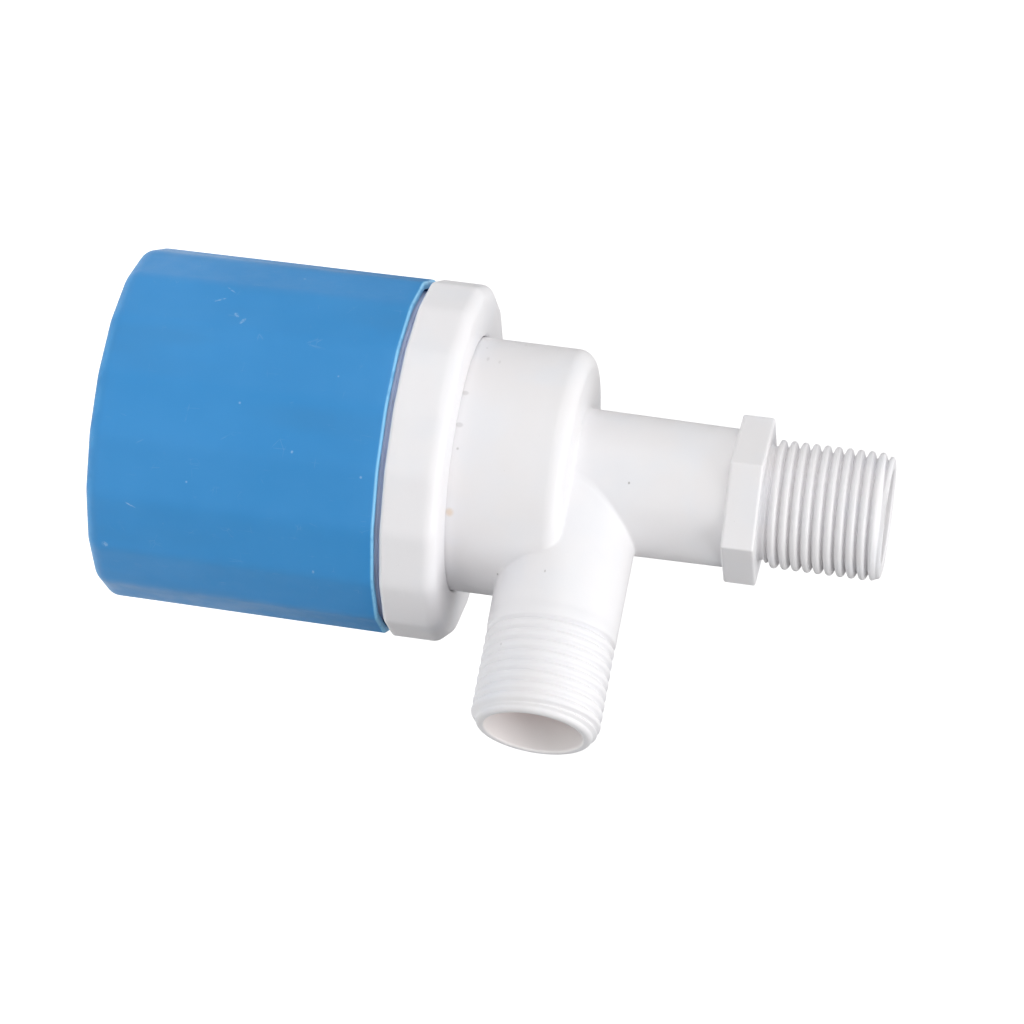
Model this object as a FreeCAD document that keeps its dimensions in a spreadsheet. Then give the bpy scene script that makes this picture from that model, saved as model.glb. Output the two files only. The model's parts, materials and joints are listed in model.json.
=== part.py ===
import FreeCAD, Part
import math
import os
import Sketcher

# Float valve for a water tank, G1/2 inlet and G1/2 side outlet.
# Frame: millimetres, +Z up along the inlet's axis, +X along the side outlet.
# The heights below are measured from the side outlet's axis. The finished
# pieces are placed with the origin at the middle of the hexagon's upper face,
# where the valve seats, so the float cup hangs below, at -Z.

Vector = FreeCAD.Vector
os.makedirs("parts", exist_ok=True)
doc = FreeCAD.newDocument("float_valve")

SIDES = 18  # flats around the collar and the cup
MARGIN = 1.0  # how far a cutting shape reaches past the material
OVERLAP = 0.5  # how far joined blanks reach into each other
FIT = 0.02  # close fit between mating pieces

# ---------------------------------------------------------------- dimensions
DIMS = [
    # valve body, outside
    ("neck_rad", 20.95, "outer radius of the piston chamber"),
    ("neck_top", -0.1, "height of the chamber's end face"),
    ("neck_round", 2.8, "rounding of the chamber's end edge"),
    ("pipe_rad_low", 11.6, "inlet pipe radius at the chamber"),
    ("pipe_rad_high", 11.35, "inlet pipe radius under the hexagon"),
    ("pipe_fillet", 0.4, "fillet between pipe and chamber"),
    ("hex_low", 25.1, "underside of the hexagon"),
    ("hex_top", 30.45, "top face of the hexagon, the seat of the tank washer"),
    ("hex_flats", 24.0, "hexagon across flats"),
    ("hex_bevel", 0.28, "bevel of the hexagon's edges"),
    ("undercut_deep", 0.15, "depth of the undercut in the hexagon's top face"),
    # pipe threads
    ("thread_rad", 10.4775, "G1/2 major radius"),
    ("thread_root", 9.3155, "G1/2 minor radius"),
    ("thread_pitch", 1.814, "G1/2 pitch"),
    ("crest_gap", 1.46, "width of the thread groove at the major radius"),
    ("root_land", 0.28, "width of the thread groove at the minor radius"),
    ("crest_bevel", 0.09, "bevel of the crest corners"),
    ("inlet_start", 31.325, "first full section of the inlet thread"),
    ("inlet_end", 50.5, "end face of the inlet"),
    ("end_rad", 9.4, "outer radius of the outlet's end face"),
    ("inlet_end_rad", 9.9, "outer radius of the inlet's end face"),
    ("shoulder_rad", 10.7, "inner edge of the hexagon's top face"),
    # side outlet
    ("branch_rad_root", 10.75, "outlet radius at the chamber"),
    ("branch_rad_start", 10.54, "outlet radius where its thread starts"),
    ("branch_taper_x", 10.0, "place where the outlet's outer taper starts"),
    ("outlet_start", 27.5, "start of the outlet thread"),
    ("outlet_end", 45.25, "end face of the outlet"),
    ("outlet_bore", 7.95, "outlet bore radius"),
    ("outlet_throat", 7.6, "outlet bore radius near the chamber"),
    ("throat_end", 19.5, "end of the narrow part of the outlet bore"),
    ("outlet_bore_start", 20.0, "start of the wide part of the outlet bore"),
    ("mouth_bevel", 0.25, "bevel of both bores at their end faces"),
    # valve body, inside
    ("chamber_rad", 18.2, "piston chamber radius"),
    ("chamber_top", -3.0, "ceiling of the piston chamber"),
    ("flange_rad", 25.0, "radius of the body flange"),
    ("flange_top", -20.95, "top of the body flange"),
    ("flange_low", -23.6, "underside of the body flange"),
    ("gasket_in", 21.9, "gasket groove, inner radius"),
    ("gasket_out", 24.1, "gasket groove, outer radius"),
    ("gasket_deep", 1.2, "gasket groove depth"),
    ("tube_rad", 9.8, "outer radius of the seat tube"),
    ("tube_top", 12.0, "upper end of the seat tube"),
    ("seat_low", -7.0, "seat lip height"),
    ("seat_lip", 8.4, "outer radius of the seat lip"),
    ("seat_cone", 1.6, "height of the cone above the seat lip"),
    ("seat_bore", 6.6, "bore above the seat"),
    ("step_rad", 7.2, "bore radius that holds the strainer's rim"),
    ("step_low", 14.0, "ledge under the strainer's rim"),
    ("step_high", 18.0, "top of the strainer's step"),
    ("step_flare", 1.0, "height of the flare above the step"),
    ("inlet_bore", 7.8, "inlet bore radius"),
    # clamp collar and float cup: eighteen flats
    ("collar_rad", 29.7, "collar, radius over the corners"),
    ("collar_low", -27.55, "underside of the collar"),
    ("collar_top", -18.4, "top of the collar"),
    ("collar_round", 2.3, "rounding of the collar's top edge"),
    ("collar_bevel", 0.7, "bevel of the collar's lower edge"),
    ("collar_hole", 21.07, "hole of the collar around the chamber"),
    ("collar_hole_bevel", 0.4, "bevel of that hole's top edge"),
    ("collar_web", -20.85, "underside of the collar's top wall"),
    ("collar_bore", 27.0, "bore of the collar"),
    ("corner_round", 7.0, "rounding of the eighteen upright corners"),
    ("cup_rad", 29.5, "cup, radius over the corners at its rim"),
    ("cup_rad_low", 29.2, "cup, radius over the corners at its bottom"),
    ("cup_draft", 0.36, "draft of the cup's flats, degrees"),
    ("cup_lip", -28.5, "rim of the cup with the float up"),
    ("cup_low", -76.2, "bottom of the cup with the float up"),
    ("cup_round", 2.6, "rounding of the cup's bottom edge"),
    ("cup_wall", 1.3, "wall of the cup over the corners"),
    ("cup_floor", 1.8, "floor of the cup"),
    ("lip_round", 0.35, "rounding of the cup's rim"),
    # guide housing
    ("rim_rad", 26.9, "housing rim inside the collar"),
    ("rim_top", -21.0, "top of the housing rim"),
    ("skirt_rad", 27.2, "outer radius of the skirt"),
    ("skirt_top", -28.2, "shoulder where the skirt starts"),
    ("skirt_low", -47.0, "lower end of the skirt"),
    ("skirt_in", 25.2, "inner radius of the skirt"),
    ("ledge_in", 22.8, "inner radius of the cover ledge"),
    ("ledge_top", -25.55, "top of the cover ledge"),
    ("ledge_low", -27.2, "underside of the cover ledge"),
    ("ledge_slope", 1.6, "height of the slope under the cover ledge"),
    ("web_top", -45.0, "top of the guide web"),
    ("boss_rad", 5.5, "guide boss radius"),
    ("boss_top", -43.6, "top of the guide boss"),
    ("boss_low", -49.0, "underside of the guide boss"),
    ("bush_rad", 3.5, "guide bush outer radius"),
    ("bush_bore", 2.05, "guide bush bore radius"),
    ("window_rad", 5.2, "radius of the six water windows"),
    ("window_pitch", 15.0, "radius of their circle"),
    # pilot
    ("cover_rad", 25.0, "pilot cover radius"),
    ("cover_top", -23.65, "top of the pilot cover"),
    ("cover_low", -25.5, "underside of the pilot cover"),
    ("cover_boss", 6.9, "radius of the spring centring boss"),
    ("cover_boss_high", 1.5, "height of the spring centring boss"),
    ("nozzle_x", 12.8, "pilot nozzle distance from the axis"),
    ("nozzle_rad", 2.0, "pilot nozzle body radius"),
    ("nozzle_tip", -32.6, "tip of the pilot nozzle"),
    ("nozzle_bore", 0.6, "pilot nozzle bore"),
    ("hinge_x", 18.0, "lever hinge distance from the axis"),
    ("hinge_z", -36.0, "lever hinge height"),
    ("hinge_rad", 1.0, "lever pin radius"),
    ("lever_bore", 1.05, "lever bore radius"),
    ("lever_half", 4.2, "half width of the lever"),
    ("lever_rise", 2.0, "lever's upper face above the hinge, and as much below it"),
    ("recess_deep", 1.2, "depth of the pad's recess in the lever"),
    ("pad_rad", 2.05, "pilot pad radius"),
    ("fork_half", 2.6, "half width of the fork opening"),
    ("ear_half", 2.5, "half width of a hinge ear, and its depth below the hinge"),
    ("ear_in", 4.6, "inner face of the hinge ears"),
    ("ear_out", 6.6, "outer face of the hinge ears"),
    ("stem_rad", 2.0, "float stem radius"),
    ("stem_top", -29.0, "upper end of the float stem"),
    ("stem_low", -58.0, "lower end of the float stem"),
    ("pin_z", -32.0, "height of the cross pin with the float up"),
    ("pin_rad", 1.0, "cross pin radius"),
    ("pin_half", 4.7, "half length of the cross pin"),
    ("fork_hole", 1.4, "radius of the fork's eye"),
    # float inside
    ("lid_top", -52.0, "top of the float lid"),
    ("lid_low", -54.0, "underside of the float lid"),
    ("core_rad", 27.5, "float core radius"),
    ("core_recess", 4.6, "radius of the float core's recess"),
    # strainer
    ("strainer_rad", 5.5, "outer radius of the strainer's basket"),
    ("strainer_in", 4.6, "inner radius of the strainer's basket"),
    ("strainer_low", 2.5, "underside of the strainer"),
    ("strainer_floor", 0.9, "floor of the strainer"),
    ("strainer_rim", 1.3, "top of the strainer's rim above its ledge"),
    ("slot_half", 0.7, "half width of the strainer's slots"),
    ("slot_low", 4.6, "lower end of the slots"),
    ("slot_high", 12.8, "upper end of the slots"),
    # piston
    ("piston_rad", 18.15, "piston radius"),
    ("piston_top", -8.2, "top of the piston, shut"),
    ("piston_low", -16.0, "underside of the piston, shut"),
    ("piston_bevel", 0.6, "bevel of the piston's top edge"),
    ("groove_rad", 16.6, "root radius of the seal groove"),
    ("groove_top", -11.4, "top of the seal groove"),
    ("groove_low", -14.1, "bottom of the seal groove"),
    ("hollow_rad", 12.5, "radius of the hollow under the piston"),
    ("hollow_top", -10.8, "ceiling of that hollow"),
    ("hub_rad", 5.2, "radius of the hub in the hollow"),
    ("hub_low", -13.4, "underside of the hub"),
    ("bleed_y", 14.6, "bleed hole distance from the axis"),
    ("bleed_rad", 0.4, "bleed hole radius"),
    ("screw_rad", 1.5, "seat screw shank radius"),
    ("screw_low", -16.1, "lower end of the seat screw"),
    ("washer_rad", 9.6, "seat washer radius"),
    ("washer_top", -7.05, "top of the seat washer, shut"),
    ("washer_low", -9.0, "underside of the seat washer, shut"),
    ("spring_rad", 8.0, "return spring mean radius"),
    ("spring_pitch", 2.45, "return spring pitch"),
    ("wire_rad", 0.4, "return spring wire radius"),
]


class Linked:
    """A number together with the sheet expression that gives it."""

    def __init__(self, num, text):
        self.num, self.text = num, text

    def _join(self, other, sign, work):
        other = linked(other)
        text = "(%s %s %s)" % (self.text, sign, other.text)
        return Linked(work(self.num, other.num), text)

    def __add__(self, other):
        return self._join(other, "+", lambda a, b: a + b)

    def __sub__(self, other):
        return self._join(other, "-", lambda a, b: a - b)

    def __mul__(self, other):
        return self._join(other, "*", lambda a, b: a * b)

    def __truediv__(self, other):
        return self._join(other, "/", lambda a, b: a / b)

    def __neg__(self):
        return Linked(-self.num, "(0 - %s)" % self.text)


def linked(value):
    return value if isinstance(value, Linked) else Linked(float(value), repr(float(value)))


class Dimensions:
    """The driving dimensions as attributes, each linked to its alias in the sheet."""


dim = Dimensions()
sheet = doc.addObject("Spreadsheet::Sheet", "Dims")
for row, (name, number, words) in enumerate(DIMS, start=1):
    sheet.set("A%d" % row, name)
    sheet.set("B%d" % row, repr(number))
    sheet.set("C%d" % row, words)
    sheet.setAlias("B%d" % row, name)
    setattr(dim, name, Linked(number, "Dims." + name))
doc.recompute()


def link(obj, path, value):
    """Bind a property to the sheet when its value comes from there."""
    if "Dims." in value.text:
        obj.setExpression(path, value.text)


def assign(obj, prop, value):
    """Set a property and bind it."""
    value = linked(value)
    setattr(obj, prop, value.num)
    link(obj, prop, value)


def failed(obj):
    return "Invalid" in obj.State or "Error" in obj.State


# ------------------------------------------------------------------ sketches
def new_body(label):
    return doc.addObject("PartDesign::Body", label)


def sketch(body, name, role="XZ_Plane", offset=0.0, turn=0.0):
    """A sketch on an origin plane, turned in degrees about its own upright axis."""
    drawing = body.newObject("Sketcher::SketchObject", name)
    plane = next(o for o in body.Origin.OriginFeatures if o.Role == role)
    drawing.AttachmentSupport = [(plane, "")]
    drawing.MapMode = "FlatFace"
    offset = linked(offset)
    drawing.AttachmentOffset = FreeCAD.Placement(
        Vector(0, 0, offset.num), FreeCAD.Rotation(Vector(0, 1, 0), turn)
    )
    link(drawing, "AttachmentOffset.Base.z", offset)
    return drawing


def pin_point(drawing, geo, pos, x, y):
    """Hold one point of a sketch at (x, y), each bound to the sheet."""
    for value, kind, axis in ((linked(x), "DistanceX", -2), (linked(y), "DistanceY", -1)):
        if abs(value.num) < 1e-9:
            drawing.addConstraint(Sketcher.Constraint("PointOnObject", geo, pos, axis))
        else:
            n = drawing.addConstraint(
                Sketcher.Constraint(kind, -1, 1, geo, pos, value.num)
            )
            link(drawing, "Constraints[%d]" % n, value)


def set_radius(drawing, geo, rad):
    n = drawing.addConstraint(Sketcher.Constraint("Radius", geo, rad.num))
    link(drawing, "Constraints[%d]" % n, rad)


def polygon(drawing, points):
    ends = [(linked(x), linked(y)) for x, y in points]
    corners = [Vector(x.num, y.num, 0) for x, y in ends]
    count = len(corners)
    for i in range(count):
        drawing.addGeometry(Part.LineSegment(corners[i], corners[(i + 1) % count]), False)
    for i in range(count):
        drawing.addConstraint(Sketcher.Constraint("Coincident", i, 2, (i + 1) % count, 1))
    for i in range(count):
        pin_point(drawing, i, 1, *ends[i])


def circle(drawing, x, y, rad):
    x, y, rad = linked(x), linked(y), linked(rad)
    shape = Part.Circle(Vector(x.num, y.num, 0), Vector(0, 0, 1), rad.num)
    geo = drawing.addGeometry(shape, False)
    pin_point(drawing, geo, 3, x, y)
    set_radius(drawing, geo, rad)


def arc_ring(drawing, rad, parts=8):
    """A circle drawn as equal arcs, so that a pad of it has several wall faces."""
    whole = Part.Circle(Vector(0, 0, 0), Vector(0, 0, 1), rad.num)
    for k in range(parts):
        start, end = 2 * math.pi * k / parts, 2 * math.pi * (k + 1) / parts
        drawing.addGeometry(Part.ArcOfCircle(whole, start, end), False)
    for k in range(parts):
        drawing.addConstraint(Sketcher.Constraint("Coincident", k, 3, -1, 1))
        drawing.addConstraint(Sketcher.Constraint("Coincident", k, 2, (k + 1) % parts, 1))
    set_radius(drawing, 0, rad)
    drawing.addConstraint(Sketcher.Constraint("PointOnObject", 0, 1, -1))


def flats(drawing, count, rad, first=0.0):
    """A regular polygon with its corners on a radius, the first at an angle in degrees."""
    angles = [math.radians(first + 360.0 * k / count) for k in range(count)]
    polygon(drawing, [(rad * math.cos(a), rad * math.sin(a)) for a in angles])


# ------------------------------------------------------------------ features
def feature(body, kind, name, drawing, refine=True, axis=None, **props):
    """Add one feature, recompute, and make sure that it changed the body."""
    before = body.Shape.Volume if body.Tip is not None and not body.Shape.isNull() else 0.0
    made = body.newObject("PartDesign::" + kind, name)
    made.Profile = drawing
    if axis:
        made.ReferenceAxis = (drawing, [axis])
    for key, value in props.items():
        if isinstance(value, Linked):
            assign(made, key, value)
        else:
            setattr(made, key, value)
    made.Refine = refine
    doc.recompute()
    if failed(made) or body.Shape.isNull():
        raise RuntimeError("%s.%s failed: %s" % (body.Label, name, made.State))
    gain = body.Shape.Volume - before
    if kind in ("Pocket", "Groove", "SubtractiveHelix") and not gain < -1e-6:
        raise RuntimeError("%s.%s cuts nothing" % (body.Label, name))
    if kind in ("Pad", "Revolution") and not gain > 1e-6:
        raise RuntimeError("%s.%s adds nothing" % (body.Label, name))
    return made


def turned(body, name, points, axis="V_Axis", kind="Revolution", refine=True):
    """A full turn of a profile: (radius, height), or (x, radius) about H_Axis."""
    drawing = sketch(body, name + "_sketch")
    polygon(drawing, points)
    feature(body, kind, name, drawing, refine, axis=axis, Angle=360.0)


def turned_piece(label, points):
    body = new_body(label)
    turned(body, label + "_turning", points)
    return body


def drilled(body, name, x, y, rad, role="XY_Plane", offset=0.0, **props):
    drawing = sketch(body, name + "_sketch", role, offset)
    circle(drawing, x, y, rad)
    return feature(body, "Pocket", name, drawing, **props)


def repeated(body, name, original, axis, count):
    """Copies of a feature around an axis of its own sketch."""
    pattern = body.newObject("PartDesign::PolarPattern", name)
    pattern.Originals = [original]
    pattern.Axis = (original.Profile[0], [axis])
    pattern.Angle = 360.0
    pattern.Occurrences = count
    body.Tip = pattern
    doc.recompute()


def dress_edges(body, name, test, size, kind="Fillet"):
    """Fillet or chamfer the edges that pass a test."""
    base = body.Tip
    names = ["Edge%d" % n for n, edge in enumerate(base.Shape.Edges, start=1) if test(edge)]
    if not names:
        raise RuntimeError("%s.%s finds no edges" % (body.Label, name))
    made = body.newObject("PartDesign::" + kind, name)
    made.Base = (base, names)
    assign(made, "Radius" if kind == "Fillet" else "Size", size)
    made.Refine = True
    doc.recompute()
    if failed(made) or body.Shape.isNull():
        raise RuntimeError("%s.%s failed: %s" % (body.Label, name, made.State))


def ring_edge(z, rad, tol=0.02):
    """Test for circular edges about Z at a height and radius."""

    def test(edge):
        curve = edge.Curve
        return (
            curve.TypeId == "Part::GeomCircle"
            and abs(curve.Radius - rad.num) < tol
            and abs(curve.Center.z - z.num) < tol
            and math.hypot(curve.Center.x, curve.Center.y) < tol
        )

    return test


def level_edge(z, beyond, tol=0.01):
    """Test for edges in the plane at height z, at least so far from the axis."""

    def test(edge):
        box = edge.BoundBox
        if abs(box.ZMin - z.num) > tol or abs(box.ZMax - z.num) > tol:
            return False
        middle = edge.valueAt((edge.FirstParameter + edge.LastParameter) / 2)
        return math.hypot(middle.x, middle.y) >= beyond

    return test


def upright_edge(beyond, lean=0.01):
    """Test for edges along Z, farther than so much from the axis."""

    def test(edge):
        box = edge.BoundBox
        return (
            box.XLength < lean
            and box.YLength < lean
            and box.ZLength > 1
            and math.hypot(box.Center.x, box.Center.y) > beyond
        )

    return test


# ---------------------------------------------------------------- primitives
def cylinder(name, rad, start, end, x=0.0, across=0.0, along="Z"):
    """A cylinder along Z or Y; across is its y when along Z, its z when along Y."""
    rod = doc.addObject("Part::Cylinder", name)
    assign(rod, "Radius", rad)
    assign(rod, "Height", linked(end) - start)
    x, across, start = linked(x), linked(across), linked(start)
    if along == "Z":
        place, turn = (x, across, start), FreeCAD.Rotation()
    else:
        place, turn = (x, start, across), FreeCAD.Rotation(Vector(1, 0, 0), -90)
    rod.Placement = FreeCAD.Placement(Vector(*[p.num for p in place]), turn)
    for key, value in zip("xyz", place):
        link(rod, "Placement.Base." + key, value)
    return rod


def cut(name, base, tool):
    made = doc.addObject("Part::Cut", name)
    made.Base, made.Tool = base, tool
    return made


def compound(name, members):
    made = doc.addObject("Part::Compound", name)
    made.Links = members
    return made


def hex_nut(label, number, corner_rad, bore, low, high):
    """A hexagon nut on the Z axis between two heights."""
    prism = doc.addObject("Part::Prism", "%s_prism%d" % (label, number))
    prism.Polygon = 6
    prism.Circumradius = corner_rad
    assign(prism, "Height", high - low)
    prism.Placement = FreeCAD.Placement(Vector(0, 0, low.num), FreeCAD.Rotation())
    link(prism, "Placement.Base.z", low)
    hole = cylinder("%s_hole%d" % (label, number), bore, low - MARGIN, high + MARGIN)
    return cut("%s_%d" % (label, number), prism, hole)


# ---------------------------------------------------------------- valve body
def body_outside(body):
    """Chamber, inlet pipe, hexagon and side outlet, still solid."""
    turned(body, "chamber_and_pipe", [
        (0, dim.flange_low),
        (dim.flange_rad, dim.flange_low),
        (dim.flange_rad, dim.flange_top),
        (dim.neck_rad, dim.flange_top),
        (dim.neck_rad, dim.neck_top),
        (dim.pipe_rad_low, dim.neck_top),
        (dim.pipe_rad_high, dim.hex_low + OVERLAP),
        (dim.thread_root, dim.hex_low + OVERLAP),
        (dim.thread_root, dim.inlet_start + OVERLAP),
        (0, dim.inlet_start + OVERLAP),
    ])
    chamber_edge = ring_edge(dim.neck_top, dim.neck_rad)
    dress_edges(body, "chamber_round", chamber_edge, dim.neck_round)
    pipe_foot = ring_edge(dim.neck_top, dim.pipe_rad_low)
    dress_edges(body, "pipe_root_fillet", pipe_foot, dim.pipe_fillet)

    drawing = sketch(body, "hexagon_sketch", "XY_Plane", dim.hex_low)
    flats(drawing, 6, dim.hex_flats / (2 * math.cos(math.pi / 6)), first=30.0)
    feature(body, "Pad", "hexagon", drawing, Length=dim.hex_top - dim.hex_low)
    top = level_edge(dim.hex_top, beyond=11.0)
    low = level_edge(dim.hex_low, beyond=11.95)  # leaves out the edge around the pipe
    dress_edges(
        body, "hexagon_bevel", lambda edge: top(edge) or low(edge), dim.hex_bevel, "Chamfer"
    )
    # shallow undercut around the foot of the inlet thread: washers lie flat on the hexagon
    clear = 0.3
    turned(body, "shoulder_undercut", [
        (dim.thread_root, dim.hex_top - dim.undercut_deep),
        (dim.shoulder_rad, dim.hex_top),
        (dim.shoulder_rad, dim.hex_top + clear),
        (dim.thread_root, dim.hex_top + clear),
    ], kind="Groove")
    turned(body, "outlet_pipe", [
        (0, 0),
        (dim.outlet_start + OVERLAP, 0),
        (dim.outlet_start + OVERLAP, dim.thread_root),
        (dim.outlet_start, dim.thread_root),
        (dim.outlet_start, dim.branch_rad_start),
        (dim.branch_taper_x, dim.branch_rad_root),
        (0, dim.branch_rad_root),
    ], axis="H_Axis")


def thread_groove(along_x, centre):
    """Section of the thread groove: open outwards, flat narrow root, bevelled crests."""
    half, root = dim.crest_gap / 2, dim.root_land / 2
    bevel = dim.crest_bevel
    past, outside = 0.02, 0.6  # the section widens past the crest and ends outside it
    # (radius, place along the axis)
    section = [
        (dim.thread_root, -root),
        (dim.thread_root, root),
        (dim.thread_rad - bevel, half - bevel),
        (dim.thread_rad + past, half + past),
        (dim.thread_rad + outside, half + past),
        (dim.thread_rad + outside, -half - past),
        (dim.thread_rad + past, -half - past),
        (dim.thread_rad - bevel, bevel - half),
    ]
    if along_x:
        return [(centre + place, rad) for rad, place in section]
    return [(rad, centre + place) for rad, place in section]


def cut_thread(body, name, drawing, axis, length):
    """Cut a right-handed thread with the groove's section."""
    feature(
        body, "SubtractiveHelix", name, drawing, False, axis=axis,
        Mode="pitch-height-angle", Pitch=dim.thread_pitch, Height=length,
        LeftHanded=False, Reversed=False,
    )


def body_threads(body):
    inlet_long = dim.inlet_end - dim.inlet_start
    outlet_long = dim.outlet_end - dim.outlet_start
    for name, role, start, length in (
        ("inlet_blank", "XY_Plane", dim.inlet_start, inlet_long),
        ("outlet_blank", "YZ_Plane", dim.outlet_start, outlet_long),
    ):
        drawing = sketch(body, name + "_sketch", role, start)
        arc_ring(drawing, dim.thread_rad)
        feature(body, "Pad", name, drawing, False, Length=length)

    # turned lead-in at both threaded ends, at 45 degrees
    outside, beyond = 0.4, 0.2  # reach of the cutter past the crest and the end face
    rim = dim.thread_rad + outside
    turned(body, "inlet_lead", [
        (dim.inlet_end_rad, dim.inlet_end),
        (rim, dim.inlet_end - dim.thread_rad + dim.inlet_end_rad - outside),
        (rim, dim.inlet_end + beyond),
        (dim.inlet_end_rad, dim.inlet_end + beyond),
    ], kind="Groove", refine=False)
    lead = dim.thread_rad - dim.end_rad
    turned(body, "outlet_lead", [
        (dim.outlet_end, dim.end_rad),
        (dim.outlet_end - lead - outside, rim),
        (dim.outlet_end + beyond, rim),
        (dim.outlet_end + beyond, dim.end_rad),
    ], axis="H_Axis", kind="Groove", refine=False)

    # inlet thread: runs out into the relief above the hexagon
    start_turn, inlet_shift, inlet_extra = -198.0, 0.70, 1.8
    drawing = sketch(body, "inlet_thread_sketch", "XZ_Plane", 0.0, start_turn)
    centre = dim.inlet_start + inlet_shift + dim.thread_pitch * (start_turn / 360.0)
    polygon(drawing, thread_groove(False, centre))
    cut_thread(body, "inlet_thread", drawing, "V_Axis", inlet_long + inlet_extra)
    # outlet thread: starts at the back of the outlet
    outlet_shift, outlet_extra = 0.83, 0.9
    drawing = sketch(body, "outlet_thread_sketch", "XY_Plane")
    polygon(drawing, thread_groove(True, dim.outlet_start + outlet_shift))
    cut_thread(body, "outlet_thread", drawing, "H_Axis", outlet_long + outlet_extra)


def body_inside(body):
    """Piston chamber, outlet bore, then the seat tube that parts inlet from outlet."""
    turned(body, "piston_chamber", [
        (0, dim.flange_low - MARGIN),
        (dim.chamber_rad, dim.flange_low - MARGIN),
        (dim.chamber_rad, dim.chamber_top),
        (0, dim.chamber_top),
    ], kind="Groove", refine=False)
    bevel = dim.mouth_bevel
    turned(body, "outlet_bore", [
        (0, 0),
        (dim.outlet_end + MARGIN, 0),
        (dim.outlet_end + MARGIN, dim.outlet_bore + bevel + MARGIN),
        (dim.outlet_end - bevel, dim.outlet_bore),
        (dim.outlet_bore_start, dim.outlet_bore),
        (dim.throat_end, dim.outlet_throat),
        (0, dim.outlet_throat),
    ], axis="H_Axis", kind="Groove", refine=False)
    turned(body, "seat_tube", [
        (0, dim.seat_low),
        (dim.seat_lip, dim.seat_low),
        (dim.tube_rad, dim.seat_low + dim.seat_cone),
        (dim.tube_rad, dim.tube_top),
        (0, dim.tube_top),
    ], refine=False)
    turned(body, "inlet_bore", [
        (0, dim.seat_low - MARGIN),
        (dim.seat_bore, dim.seat_low - MARGIN),
        (dim.seat_bore, dim.step_low),
        (dim.step_rad, dim.step_low),
        (dim.step_rad, dim.step_high),
        (dim.inlet_bore, dim.step_high + dim.step_flare),
        (dim.inlet_bore, dim.inlet_end - bevel),
        (dim.inlet_bore + bevel + MARGIN, dim.inlet_end + MARGIN),
        (0, dim.inlet_end + MARGIN),
    ], kind="Groove", refine=False)
    below = dim.flange_low - 0.5
    turned(body, "gasket_groove", [
        (dim.gasket_in, below),
        (dim.gasket_out, below),
        (dim.gasket_out, dim.flange_low + dim.gasket_deep),
        (dim.gasket_in, dim.flange_low + dim.gasket_deep),
    ], kind="Groove", refine=False)


def valve_body():
    body = new_body("valve_body")
    body_outside(body)
    body_threads(body)
    body_inside(body)
    return body


# -------------------------------------------------------- collar and housing
def clamp_collar():
    body = new_body("clamp_collar")
    low, top, hole = dim.collar_low, dim.collar_top, dim.collar_hole
    drawing = sketch(body, "collar_sketch", "XY_Plane", low)
    flats(drawing, SIDES, dim.collar_rad)
    feature(body, "Pad", "collar_blank", drawing, Length=top - low)
    dress_edges(body, "collar_corners", upright_edge(beyond=29.0), dim.corner_round)
    dress_edges(body, "collar_top_edge", level_edge(top, beyond=25.0), dim.collar_round)
    low_edge = level_edge(low, beyond=25.0)
    dress_edges(body, "collar_low_edge", low_edge, dim.collar_bevel, "Chamfer")
    turned(body, "collar_inside", [
        (0, low - MARGIN),
        (dim.collar_bore, low - MARGIN),
        (dim.collar_bore, dim.collar_web),
        (hole, dim.collar_web),
        (hole, top - dim.collar_hole_bevel),
        (hole + dim.collar_hole_bevel + MARGIN, top + MARGIN),
        (0, top + MARGIN),
    ], kind="Groove")
    return body


def guide_housing():
    body = new_body("guide_housing")
    turned(body, "housing", [
        (0, dim.boss_low),
        (dim.boss_rad, dim.boss_low),
        (dim.boss_rad, dim.skirt_low),
        (dim.skirt_rad, dim.skirt_low),
        (dim.skirt_rad, dim.skirt_top),
        (dim.rim_rad, dim.skirt_top),
        (dim.rim_rad, dim.rim_top),
        (dim.skirt_in, dim.rim_top),
        (dim.skirt_in, dim.ledge_top),
        (dim.ledge_in, dim.ledge_top),
        (dim.ledge_in, dim.ledge_low),
        (dim.skirt_in, dim.ledge_low - dim.ledge_slope),
        (dim.skirt_in, dim.web_top),
        (dim.boss_rad, dim.web_top),
        (dim.boss_rad, dim.boss_top),
        (0, dim.boss_top),
    ])
    drilled(
        body, "bush_seat", 0, 0, dim.bush_rad + FIT, offset=dim.boss_top,
        Length=dim.boss_top - dim.boss_low + MARGIN,
    )
    window = drilled(
        body, "window", dim.window_pitch, 0, dim.window_rad, offset=dim.web_top,
        Length=dim.web_top - dim.skirt_low + MARGIN,
    )
    repeated(body, "windows", window, "N_Axis", 6)
    return body


def guide_bush():
    """A flanged bush, its flange under the boss."""
    flange_rad = dim.boss_rad - 0.7
    flange_low, flange_top = dim.boss_low - 0.6, dim.boss_low - FIT
    top = dim.boss_top - 0.1
    return turned_piece("guide_bush", [
        (dim.bush_bore, flange_low), (flange_rad, flange_low), (flange_rad, flange_top),
        (dim.bush_rad, flange_top), (dim.bush_rad, top), (dim.bush_bore, top),
    ])


def body_gasket():
    side_gap, low_gap, top_gap = 0.1, 0.03, 0.05
    inner, outer = dim.gasket_in + side_gap, dim.gasket_out - side_gap
    low = dim.flange_low + low_gap
    top = dim.flange_low + dim.gasket_deep - top_gap
    return turned_piece(
        "body_gasket", [(inner, low), (outer, low), (outer, top), (inner, top)]
    )


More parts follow.
